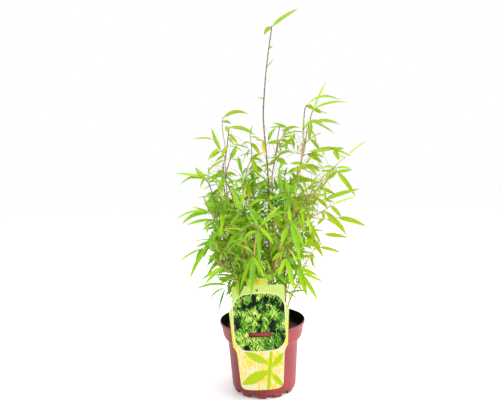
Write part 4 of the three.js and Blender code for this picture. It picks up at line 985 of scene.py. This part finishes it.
def leafMaterial(look):
    material, board = newMaterial("bambooLeaf")
    tint, age, along, across, layer = map(board.attribute, ("tint", "age", "along", "across", "layer"))
    place = board.place()
    x, y, z = board.parts(place)
    cloud = board.noise(place, 45)
    mottle = board.noise(place, 420, 3)
    # The lower leaves lean a little towards fresh green: partly their tint, partly painted light that
    # lifts the shaded low middle of the plant.
    low = board.step(z / mm, 300, 160)
    # A darker, yellower olive on the top and right-hand leaves: partly their tint, partly painted shade
    # against the stronger lamp light they get there.
    crownTintAndShade = board.calc("MAXIMUM", board.step(z / mm, 360, 500), board.step(x / mm, 45, 110))
    aged = age + along * 0.45 + cloud * 0.2
    veins = board.calc("SINE", across * 34) * 0.5 + 0.5
    midrib = board.step(board.size(across), 0.12, 0.03)
    colour = board.paint(
        look, "deep",
        ("fresh", board.step(tint + cloud * 0.5 + low * 0.1, 0.15, 0.75)),
        ("dark", board.step(tint, 0.12, 0) * 0.8),
        ("bright", board.step(tint + mottle * 0.3, 0.75, 1.25) * 0.8),
        ("bright", board.step(along, 0.55, 1) * 0.35),
        ("crown", crownTintAndShade * 0.85),
        # Painted shade: the highest leaves, nearest the top lamp, are darkened.
        ("dark", board.step(z / mm, 560, 640) * 0.35),
        ("old", board.step(aged, 0.95, 1.3)),
        ("dry", board.step(aged, 1.4, 1.55) * 0.9),
        ("deep", veins * 0.22),
        ("rib", midrib * (1 - along * 0.6) * 0.7),
        ("under", (layer < 0) * 0.35),
        ("dry", board.step(along + age * 0.08 + mottle * 0.03, 0.985, 1.03) * 0.9))
    ridges = board.bump(veins * 0.4 + mottle * 0.6, 0.00025, 0.35)
    leaf = coat(board, colour, 0.45 + mottle * 0.18, ridges, 0.2)
    glow = board.add("ShaderNodeBsdfTranslucent", {"Color": asColour(look["glow"])})
    endMaterial(board, board.add("ShaderNodeMixShader", [leafForm["transparency"], leaf, glow]))
    return material


caneLook = screenColours(
    wood="3c281c", purple="45313a", green="5f5a2a", sheath="c09a6a", husk="7a5438", bloom="c4b08e",
    twig="9c7c4c", straw="b89c42", pale="b09a8c", tan="c4a04c",
)


def caneMaterial(look):
    material, board = newMaterial("bambooCane")
    sheath, band, tone = map(board.attribute, ("sheath", "band", "tone"))
    place = board.place()
    height = board.parts(place)[2] / mm
    low = board.step(height, 380, 260)
    high = board.step(height, 440, 540)  # only the tallest cane reaches here, and it is dark
    streaks = board.streaks(place, (6, 6, 0.5), 260)
    green, straw, tan, pale = [
        board.step(board.noise(place, scale, 1), least, most)
        for scale, least, most in ((14, 0.5, 0.7), (21, 0.42, 0.56), (18, 0.36, 0.54), (33, 0.52, 0.66))]
    thin = board.paint(look, "twig", ("straw", straw), ("pale", pale * (1 - low * 0.8)))
    husk = board.mix(look["husk"], look["sheath"], board.step(streaks + sheath * 0.3, 0.45, 0.75))
    colour = board.paint(
        look, "wood",
        ("purple", board.step(board.noise(place, 30), 0.35, 0.65)),
        ("green", green * 0.6),
        ("tan", tan * low * 0.85),
        (thin, tone * (1 - high * 0.8)),
        (husk, sheath * (0.9 - high * 0.6)),
        ("bloom", band * (0.75 - high * 0.35)),
        ("wood", board.step(streaks, 0.55, 0.75) * 0.35))
    grain = board.bump(streaks, 0.0003, 0.5)
    endMaterial(board, coat(board, colour, 0.38 + streaks * 0.3 + sheath * 0.15, grain))
    return material


def growCane(name, cane, luck):
    number = name[-2:]
    path = canePath(cane)
    tones = growth["tones"]
    tone = cane.get("pale", 0) + luck.uniform(*tones["cane"])
    leaves, bars, stalks, shoots, whiskers = [], [], [], [], []
    addBar(bars, path, caneRings(pathLength(path), cane["radius"], luck, tone))
    addGrowth(leaves, endOf(path, growth["leafyEnd"]), cane, luck)
    addStrays(leaves, path, cane.get("strays", []), luck)
    for branch in cane.get("spurs", []) + list(cane.get("twigs", {}).values()):
        route = [seen(*spot) for spot in branch["route"]]
        route[0] = nearestOn(path, route[0])
        twig = smoothPath(route, 4)
        addTwig(bars, twig, branch.get("radius", growth["twigRadius"]), tones["twig"])
        addGrowth(leaves, twig, branch, luck)
    addTufts(leaves, stalks, path, cane["tufts"], luck)
    if "high" in cane:
        addTufts(leaves, stalks, path, cane["high"], luck)
    for twig in stalks:
        addTwig(bars, twig, growth["stalkRadius"], tones["stalk"])
    addShoots(leaves, shoots, path, luck)
    addWhiskers(whiskers, path, luck)
    for kind, twigs in (("shoot", shoots), ("whisker", whiskers)):
        for twig in twigs:
            addTwig(bars, twig, growth[kind]["radius"], luck.uniform(*tones["thin"]))
    wood = makeObject("canes_" + number, barMesh("canes_" + number, bars))
    runTree(wood, trees["bar"], dict(Sides=growth["caneSides"], Material=finishes["cane"]), ("thickness",))
    green = makeObject("leaves_" + number, leafMesh("leaves_" + number, leaves))
    values = dict(
        Blank=trees["blank"], Fold=leafForm["fold"], Depth=leafForm["depth"] * mm,
        Wave=leafForm["wave"] * mm, Material=finishes["leaf"])
    spent = ("base", "spine", "side", "rise", "face", "twist", "fullness", "phase")
    runTree(green, trees["leaf"], values, spent)
    nodes = [name] + ["twig_" + number + letter for letter in cane.get("twigs", {})]
    for piece, slot in ((wood, "stem"), (green, "twig")):
        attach(piece, "root")
        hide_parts(*nodes)
    return len(leaves)


finishes = dict(leaf=leafMaterial(leafLook), cane=caneMaterial(caneLook))
trees = dict(leaf=leafTree(), bar=barTree(), blank=leafBlank())
leafCount = 0
for order, (name, cane) in enumerate(canes.items()):
    leafCount += growCane(name, cane, random.Random(growth["seed"] + order))
bpy.data.objects.remove(trees["blank"])
print("canes and leaves grown:", leafCount, "leaves")


# Pot: a thin moulded wall on a ring of feet, with a rolled lip.
pot = dict(
    sides=192,
    section=[(0, 0), (13, 0), (14, 7.8), (56.5, 7.8), (56.5, 0), (57.8, 0), (57.8, 5), (60, 5.6),
        (67.2, 91), (73.6, 97.6), (75.4, 101.5), (78.3, 118.4), (79, 119.8), (80.6, 121.6), (81.5, 125.2),
        (81, 127.2), (80.2, 127.6), (79.4, 127), (78.6, 121.8), (76.9, 118), (74.1, 102.5), (72, 98),
        (65.9, 92), (58.7, 9.2), (0, 9.2)],
    lining=17,  # the section's points from here on are the inside
    rounding=0.9,
    creases=40,  # edges turn sharp from this many degrees on
    notches=dict(count=12, turn=8.7, width=15, inner=51, outer=65, low=-1, high=7.2),
    drains=dict(count=6, place=36, radius=4.5, sides=28, low=6, high=11),
)


def circle(radius, count):
    turns = [2 * math.pi * k / count for k in range(count)]
    return [(radius * math.cos(turn), radius * math.sin(turn)) for turn in turns]


def roundCorners(section, cut):  # each corner becomes four points of a short curve
    rounded = [(0, *section[0])]
    for i in range(1, len(section) - 1):
        before, corner, after = (Vector(section[k]) for k in (i - 1, i, i + 1))
        start = corner + (before - corner) * min(cut / (before - corner).length, 0.4)
        end = corner + (after - corner) * min(cut / (after - corner).length, 0.4)
        for share in (0, 0.33, 0.67, 1):
            spot = start.lerp(corner, share).lerp(corner.lerp(end, share), share)
            rounded.append((i, spot.x, spot.y))
    return rounded + [(len(section) - 1, *section[-1])]


def turned(section, sides):  # a section from axis to axis, turned round the axis
    points = [(0, 0, section[0][1])]
    for radius, height in section[1:-1]:
        points += [(x, y, height) for x, y in circle(radius, sides)]
    points.append((0, 0, section[-1][1]))
    faces = []
    last = len(points) - 1
    for k in range(sides):
        n = (k + 1) % sides
        faces.append((0, 1 + n, 1 + k))
        for start in range(1, last - sides, sides):
            faces.append((start + k, start + n, start + sides + n, start + sides + k))
        faces.append((last - sides + k, last - sides + n, last))
    return points, faces


def block(middle, form):  # a piece of a thick ring, with square ends
    points = []
    for side in (-0.5, 0.5):
        angle = math.radians(middle + form["width"] * side)
        for edge, level in (("inner", "low"), ("outer", "low"), ("outer", "high"), ("inner", "high")):
            points.append((form[edge] * math.cos(angle), form[edge] * math.sin(angle), form[level]))
    sides = [(j, j + 4, (j + 1) % 4 + 4, (j + 1) % 4) for j in range(4)]
    return points, sides + [(0, 1, 2, 3), (7, 6, 5, 4)]


def cutOpenings(shell, form):
    notches, drains = form["notches"], form["drains"]
    pitch = 360 / notches["count"]
    parts = [block(notches["turn"] + pitch * k, notches) for k in range(notches["count"])]
    low, high, radius = drains["low"], drains["high"], drains["radius"]
    plug, sides = turned([(0, low), (radius, low), (radius, high), (0, high)], drains["sides"])
    for place in circle(drains["place"], drains["count"]):
        parts.append(([tuple(Vector(p) + Vector((*place, 0))) for p in plug], sides))
    points, faces = [], []
    for spots, sides in parts:
        faces += [tuple(v + len(points) for v in face) for face in sides]
        points += spots
    cutter = makeObject("potCutter", meshFrom("potCutter", points, faces, False))
    cut = shell.modifiers.new("openings", "BOOLEAN")
    cut.operation = "DIFFERENCE"
    cut.solver = "EXACT"
    cut.object = cutter
    settle(shell)
    bpy.data.objects.remove(cutter)
    shell.data.set_sharp_from_angle(angle=math.radians(form["creases"]))


potLook = screenColours(
    clay="74282b", warm="823032", dust="b8807c", scuff="5c1f22", lining="060504", silt="4a3424")


def potMaterial(look):
    material, board = newMaterial("potPlastic")
    place = board.place()
    height = board.parts(place)[2] / mm
    flow = board.streaks(place, (1, 1, 0.05), 120)
    clouds = board.noise(place, 22, 3)
    grain = board.noise(place, 900)
    specks = board.noise(place, 520, 4, 0.7)
    low = board.step(height, 14, 1)
    ledge = board.step(height, 95, 98) * board.step(height, 104, 99)
    dusty = board.step(specks + low * 0.12 + ledge * 0.1, 0.6, 0.8)
    colour = board.paint(
        look, "clay",
        ("warm", board.step(clouds, 0.3, 0.7)),
        ("scuff", board.step(flow, 0.5, 0.75) * 0.35),
        ("dust", dusty * 0.55),
        ("silt", low * board.step(clouds + specks, 0.95, 1.25) * 0.4))
    rough = 0.34 + clouds * 0.14 + dusty * 0.25 + grain * 0.06
    skin = board.bump(grain * 0.3 + flow * 0.7, 0.0002, 0.3)
    endMaterial(board, coat(board, colour, rough, skin, 0.25))
    return material


def liningMaterial(look):
    material, board = newMaterial("potLining")
    place = board.place()
    specks = board.noise(place, 420, 4, 0.7)
    damp = board.noise(place, 60, 3)
    spray = board.step(board.parts(place)[2] / mm, 122, 104) * 0.14
    colour = board.paint(look, "lining", ("silt", board.step(specks + spray, 0.62, 0.74) * 0.8))
    endMaterial(board, coat(board, colour, 0.5 + damp * 0.3, board.bump(specks, 0.0004, 0.4), 0.04))
    return material


def buildPot(form):
    section = roundCorners(form["section"], form["rounding"])
    points, faces = turned([spot[1:] for spot in section], form["sides"])
    shell = makeObject("pot_shell", meshFrom("pot_shell", points, faces))
    corners = [spot[0] for spot in section]
    firstInside = 1 + form["sides"] * (corners.index(form["lining"]) - 1)
    for face in shell.data.polygons:
        face.material_index = int(min(face.vertices) >= firstInside)
    for paint in (potMaterial(potLook), liningMaterial(potLook)):
        shell.data.materials.append(paint)
    cutOpenings(shell, form)
    return shell


shell = buildPot(pot)
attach(shell, "root")
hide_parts("pot")
print("pot built")


# Soil: a low crown of potting mix, with crumbs and bark chips strewn on it.
soil = dict(
    crown=108.5,
    edge=105,
    radius=73.6,
    floor=9.7,
    wall=[(58.2, 9.7), (65.4, 92), (71.5, 98.6), (73.6, 103), (73.6, 105)],
    rings=46,
    sides=120,
    lumps=1.3,  # how far the surface rises and falls, in mm
    sink=0.6,
    openTop=103,  # the height that crumbs and chips lie above
    crumbs=dict(Density=110000.0, Least=0.25, Most=1.0, Seed=5),
    chips=dict(Density=16000.0, Least=0.5, Most=1.6, Seed=9),
)

soilLook = screenColours(dark="140d08", brown="4c2f18", rust="9c5c24", straw="cf9448", ash="7a6a5c")


def soilMaterial(look):
    material, board = newMaterial("pottingMix")
    tint = board.attribute("tint")
    place = board.place()
    clods = board.noise(place, 160, 4, 0.65)
    fibre = board.noise(place, 900, 3, 0.6)
    colour = board.paint(
        look, "dark",
        ("brown", board.step(clods, 0.38, 0.62)),
        ("rust", board.step(fibre + clods * 0.3, 0.66, 0.85) * 0.7),
        ("rust", board.step(tint, 0.6, 0.9) * 0.8),
        ("straw", board.step(tint, 0.88, 0.98) * 0.8),
        ("ash", board.step(fibre, 0.62, 0.78) * 0.3))
    lumps = board.bump(clods * 0.6 + fibre * 0.4, 0.0012, 0.8)
    endMaterial(board, coat(board, colour, 0.75 + fibre * 0.25, lumps))
    return material


def soilHeight(x, y, form):
    share = min(1, math.hypot(x, y) / form["radius"])
    spot = Vector((x, y, 3)) * 0.09
    rough = noise.noise(spot) + 0.6 * noise.noise(spot * 2.7) + 0.35 * noise.noise(spot * 6.1)
    calm = 1 - share ** 8
    level = form["crown"] + (form["edge"] - form["crown"]) * share ** 2
    return level + form["lumps"] * rough * calm - form["sink"] * calm


def buildSoil(form):
    top = [(form["radius"] * (1 - i / form["rings"]), 0) for i in range(1, form["rings"])]
    points, faces = turned([(0, form["floor"]), *form["wall"], *top, (0, 0)], form["sides"])
    start = 1 + form["sides"] * len(form["wall"])
    points[start:] = [(x, y, soilHeight(x, y, form)) for x, y, z in points[start:]]
    return makeObject("soil_bed", meshFrom("soil_bed", points, faces))


def crumbBlank(name, stretch, seed):
    luck = random.Random(seed)
    shape = bmesh.new()
    bmesh.ops.create_icosphere(shape, subdivisions=1, radius=mm)
    for vertex in shape.verts:
        vertex.co = vertex.co * luck.uniform(0.7, 1.15)
        vertex.co = Vector(a * b for a, b in zip(vertex.co, stretch))
    mesh = bpy.data.meshes.new(name)
    shape.to_mesh(mesh)
    shape.free()
    return makeObject(name, mesh)


def strewTree():
    board, given = newTree("crumbStrewer", dict(
        Crumb="Object", Density="Float", Least="Float", Most="Float", Seed="Int", Material="Material"))
    seed = given.out("Seed")
    crumb = board.add("GeometryNodeObjectInfo", {"Object": given.out("Crumb")}, "Geometry")
    height = board.parts(board.add("GeometryNodeInputPosition"))[2]
    spots = board.add("GeometryNodeDistributePointsOnFaces", {
        "Mesh": given, "Selection": height > soil["openTop"] * mm,
        "Density": given.out("Density"), "Seed": seed})
    turn = board.add("FunctionNodeRandomValue", {
        0: (-0.5, -0.5, 0), 1: (0.5, 0.5, 6.28), "Seed": seed}, data_type="FLOAT_VECTOR")
    size = board.add("FunctionNodeRandomValue", {
        2: given.out("Least"), 3: given.out("Most"), "Seed": seed + 1}, 1, data_type="FLOAT")
    crumbs = board.add("GeometryNodeInstanceOnPoints", {
        "Points": spots, "Instance": crumb, "Rotation": turn, "Scale": size})
    tint = board.add("FunctionNodeRandomValue", {"Seed": seed + 2}, 1, data_type="FLOAT")
    crumbs = board.add("GeometryNodeStoreNamedAttribute", {
        "Geometry": crumbs, "Name": "tint", "Value": tint}, data_type="FLOAT", domain="INSTANCE")
    return endTree(board, crumbs, given.out("Material"), smooth=False)


soilPieces = [buildSoil(soil)]
soilPaint = soilMaterial(soilLook)
strewer = strewTree()
for name, stretch, spread in (
        ("soil_crumbs", (1, 0.8, 0.7), soil["crumbs"]), ("bark_chips", (2.6, 0.9, 0.35), soil["chips"])):
    blank = crumbBlank(name + "_blank", stretch, spread["Seed"])
    strewn = makeObject(name, soilPieces[0].data.copy())
    runTree(strewn, strewer, dict(spread, Crumb=blank, Material=soilPaint))
    bpy.data.objects.remove(blank)
    soilPieces.append(strewn)
soilPieces[0].data.materials.append(soilPaint)
for piece in soilPieces:
    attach(piece, "root")
    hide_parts("soil")
print("soil filled:", sum(len(piece.data.polygons) for piece in soilPieces), "faces")


# Label: a thin hanging card, its slot over the pot's lip. Its picture is made up of plain leaf shapes.
label = dict(
    thickness=0.6,
    bevel=0.08,
    back=-80.7,
    middle=-6.5,
    turn=128.3,  # the height that it tilts about
    tilt=1,
    # The right half, from the bottom up. Four numbers are a curve: where it bends to, and its end.
    edge=[(0, 28), (18, 28, 27, 29.8), (36, 31.5, 37, 40), (41.2, 92), (42.2, 98, 47.5, 105), (51.8, 161),
        (52.3, 168, 48.5, 171.5), (46, 174, 46, 179), (46, 204.6), (46, 209.6, 41, 209.6), (17.4, 209.6),
        (17.4, 217), (17.4, 222, 12.4, 222)],
    slot=[(-20, 119.5), (-20, 128.3), (20, 128.3), (20, 119.5)],
    hole=dict(place=(-1.8, 201), radius=2.4, sides=24),
    panel=dict(middle=145.5, half=(44.6, 44.5), corner=20, bulge=0.11),
    stalk=((14, 62), 83, 60, 3.2),  # [middle, degrees, half length, half width]
    leaves=[
        ((-11, 50), 24, 27, 9), ((-8, 84), 152, 24, 6.5), ((29, 79), 48, 17, 5), ((27, 44), 128, 16, 4.5)],
    # Layers of leaves in the picture: [degrees, length, width, shift, how many, dark and light tone].
    layers=[(100, 13, 2.6, 0.2, 0.95, "deep", "green"), (62, 12, 2.4, 1.7, 0.9, "deep", "green"),
        (128, 12, 2.3, 3.1, 0.8, "deep", "bright"), (82, 13, 2.2, 4.6, 0.75, "green", "bright"),
        (45, 12, 2.1, 6.2, 0.65, "green", "bright"), (112, 12, 1.9, 7.7, 0.5, "green", "straw"),
        (66, 13, 1.7, 9.3, 0.4, "bright", "straw"), (136, 12, 1.7, 10.9, 0.35, "bright", "straw")],
    disc=dict(place=(-33, 201.5), radius=5.2),
    badge=dict(place=(3, 215.5), half=(10, 3.2), corner=3),
)

labelLook = screenColours(
    lime="a2b45c", pale="aec078", cream="bcb594", yellow="c4ae18", grass="90a40e", deep="12300a",
    green="3a7418", bright="74aa2c", straw="d2d674", orange="d48618", shade="050a04", plain="d8dac6",
)


def boxReach(board, u, v, half, corner):  # distance outside a box with round corners
    x = board.size(u) - (half[0] - corner)
    y = board.size(v) - (half[1] - corner)
    outside = board.add("ShaderNodeCombineXYZ", [board.calc("MAXIMUM", side, 0) for side in (x, y)])
    inside = board.calc("MINIMUM", board.calc("MAXIMUM", x, y), 0)
    return board.size(outside) + inside - corner


def turnedBy(u, v, degrees):
    cosine, sine = math.cos(math.radians(degrees)), math.sin(math.radians(degrees))
    return u * cosine + v * sine, v * cosine - u * sine


def oneLeaf(board, u, v, place, degrees, length, width):  # 1 on a large pointed leaf, 0 round it
    along, across = turnedBy(u - place[0], v - place[1], degrees)
    along = along / length
    return board.step(width * (1 - along * along) - board.size(across), -0.15, 0.15)


def leafLayer(board, u, v, sway, layer, filled):  # small leaves: their shape, and two numbers for each
    degrees, length, width, shift, share = layer
    along, across = turnedBy(u, v, degrees)
    spot = board.add("ShaderNodeCombineXYZ", [along / length + shift * 7, across / width + sway])
    cell = board.add(
        "ShaderNodeTexVoronoi", {"Vector": spot, "Scale": 1, "Randomness": 0.9}, "Position",
        feature="F1", voronoi_dimensions="2D")
    along, across, _ = board.parts(spot - cell)
    luck, shade, _ = board.parts(cell.out("Color"))
    spread = board.size(across)
    shape = board.step(0.34 * (1 - along * along * 4.6) - spread, 0, 0.08) * (luck < filled * share)
    return shape, shade, board.step(spread, 0.1, 0)


def foliagePicture(board, look, form, place, u, v, blotch):
    clumps = board.noise(place, 42) + board.calc("SINE", v * 0.11 + u * 0.03 + 3) * 0.07
    lit = board.step(clumps + board.noise(place, 110, 1) * 0.4, 0.67, 0.83)
    filled = board.step(clumps + board.noise(place, 130, 1) * 0.4, 0.57, 0.75)
    sway = board.noise(place, 44, 1) * 9
    picture = board.mix(look["shade"], look["deep"], board.step(blotch, 0.48, 0.66))
    for *layer, dark, light in form["layers"]:
        shape, luck, rib = leafLayer(board, u, v, sway, layer, lit if light == "straw" else filled)
        picture = board.mix(picture, board.mix(look[dark], look[light], luck * 0.9 + rib * 0.3), shape)
    return picture


def labelMaterial(look, form):
    material, board = newMaterial("labelCard")
    place = board.place()
    x, y, z = board.parts(place)
    u, v = turnedBy(x / mm - form["middle"], z / mm - form["turn"], form["tilt"])
    v = v + form["turn"]
    blotch = board.noise(place, 95, 3)
    strokes = board.streaks(place, (1.6, 1, 0.4), 210)
    stained = board.step(strokes + board.noise(place, 40, 1) * 0.5, 0.75, 0.81)
    lower = board.step(v, 108, 100)
    colour = board.paint(
        look, "yellow",
        ("lime", board.step(v + blotch * 60, 128, 190)),
        ("pale", board.step(blotch, 0.55, 0.75) * 0.6),
        (board.mix(look["cream"], look["yellow"], stained), lower))
    for shape in [form["stalk"], *form["leaves"]]:
        colour = board.mix(colour, look["grass"], oneLeaf(board, u, v, *shape) * lower)
    panel, disc, badge = form["panel"], form["disc"], form["badge"]
    rise = (v - panel["middle"]) * (1 - panel["bulge"] * (1 - u * u / panel["half"][0] ** 2))
    border = boxReach(board, u, rise, panel["half"], panel["corner"])
    away = board.size(board.add("ShaderNodeCombineXYZ", [u - disc["place"][0], v - disc["place"][1]]))
    reach = boxReach(board, u - badge["place"][0], v - badge["place"][1], badge["half"], badge["corner"])
    colour = board.paint(
        look, colour,
        ("cream", board.step(border, 1.9, 1.6)),
        (foliagePicture(board, look, form, place, u, v, blotch), board.step(border, 0.2, -0.1)),
        ("orange", board.step(away, disc["radius"], disc["radius"] - 0.3)),
        ("yellow", board.step(away, disc["radius"] - 1, disc["radius"] - 1.4)),
        ("orange", board.step(reach, 0.2, -0.2)),
        ("yellow", board.step(reach, -1, -1.4)),
        ("plain", y > (form["back"] - form["thickness"] / 2) * mm))
    film = board.noise(place, 14)
    endMaterial(board, coat(board, colour, 0.35 + film * 0.15, board.bump(film, 0.004, 0.12), 0.1))
    return material


def cardOutline(edge):  # the right half with its curves drawn out, and its mirror image
    right = []
    for *bend, x, z in edge:
        start, end = Vector(right[-1] if right else (x, z)), Vector((x, z))
        turn = Vector(bend) if bend else start
        for k in range(1, 9) if bend else (8,):
            right.append(tuple(start.lerp(turn, k / 8).lerp(turn.lerp(end, k / 8), k / 8)))
    return right + [(-x, z) for x, z in right[:0:-1]]


def buildLabel(form):
    card = bpy.data.curves.new("label_card", "CURVE")
    card.dimensions = "2D"
    card.fill_mode = "BOTH"
    card.bevel_depth = form["bevel"] * mm
    card.extrude = (form["thickness"] / 2 - form["bevel"]) * mm
    holeX, holeZ = form["hole"]["place"]
    hole = [(holeX + x, holeZ + z) for x, z in circle(form["hole"]["radius"], form["hole"]["sides"])]
    for ring in (cardOutline(form["edge"]), form["slot"], hole):
        spline = card.splines.new("POLY")
        spline.points.add(len(ring) - 1)
        spline.use_cyclic_u = True
        for point, (x, z) in zip(spline.points, ring):
            point.co = (x * mm, (z - form["turn"]) * mm, 0, 1)
    piece = makeObject("label_flat", card)
    graph = bpy.context.evaluated_depsgraph_get()
    mesh = bpy.data.meshes.new_from_object(piece.evaluated_get(graph))
    bpy.data.objects.remove(piece)
    middle = Vector((form["middle"], form["back"] - form["thickness"] / 2, form["turn"])) * mm
    upright = Matrix.Rotation(math.pi / 2, 4, "X")
    tilted = Matrix.Rotation(-math.radians(form["tilt"]), 4, "Y")
    mesh.transform(Matrix.Translation(middle) @ tilted @ upright)
    shape = bmesh.new()
    shape.from_mesh(mesh)
    bmesh.ops.remove_doubles(shape, verts=shape.verts, dist=1e-6)
    bmesh.ops.recalc_face_normals(shape, faces=shape.faces)
    shape.to_mesh(mesh)
    shape.free()
    return makeObject("label_card", mesh)


card = buildLabel(label)
card.data.materials.clear()
card.data.materials.append(labelMaterial(labelLook, label))
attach(card, "root")
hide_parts("label")
print("label hung")


# Stage: a pale floor, a white sky and large soft lamps.
studio = dict(
    floor=60000,  # radius in mm
    floorSides=96,
    sky=1,
    lamps=[  # [place, height it is aimed at, size, watts]
        [(-1.6, -1.0, 1.4), 0.45, 0.9, 8],
        [(1.5, -0.9, 1.4), 0.3, 1.0, 28],
        [(0.1, 0.3, 2.4), 0.3, 1.6, 33],
        [(0.8, -0.42, 0.16), 0.03, 0.3, 5],
        [(1.3, 0.5, 0.3), 0.08, 0.5, 3.5],
    ],
)


def buildStudio(form):
    material, board = newMaterial("paleFloor")
    colour = board.mix((0.985, 0.985, 0.985), (1.0, 1.0, 1.0), board.noise(board.place(), 3))
    endMaterial(board, board.add("ShaderNodeBsdfPrincipled", {"Base Color": colour, "Roughness": 0.8}))
    ring = [(x, y, 0) for x, y in circle(form["floor"], form["floorSides"])]
    floor = makeObject("floor", meshFrom("floor", ring, [tuple(range(len(ring)))], False))
    floor.data.materials.append(material)
    world = bpy.data.worlds.new("studioSky")
    world.use_nodes = True
    sky = world.node_tree.nodes["Background"].inputs
    sky["Color"].default_value = (1, 1, 1, 1)
    sky["Strength"].default_value = form["sky"]
    bpy.context.scene.world = world
    bpy.context.scene.view_settings.view_transform = "Standard"
    for i, (place, aim, size, watts) in enumerate(form["lamps"]):
        lamp = bpy.data.lights.new("softLamp" + str(i + 1), "AREA")
        lamp.size = size
        lamp.energy = watts
        holder = makeObject(lamp.name, lamp)
        holder.location = place
        holder.rotation_euler = (Vector((0, 0, aim)) - Vector(place)).to_track_quat("-Z", "Y").to_euler()


buildStudio(studio)
print("studio set")
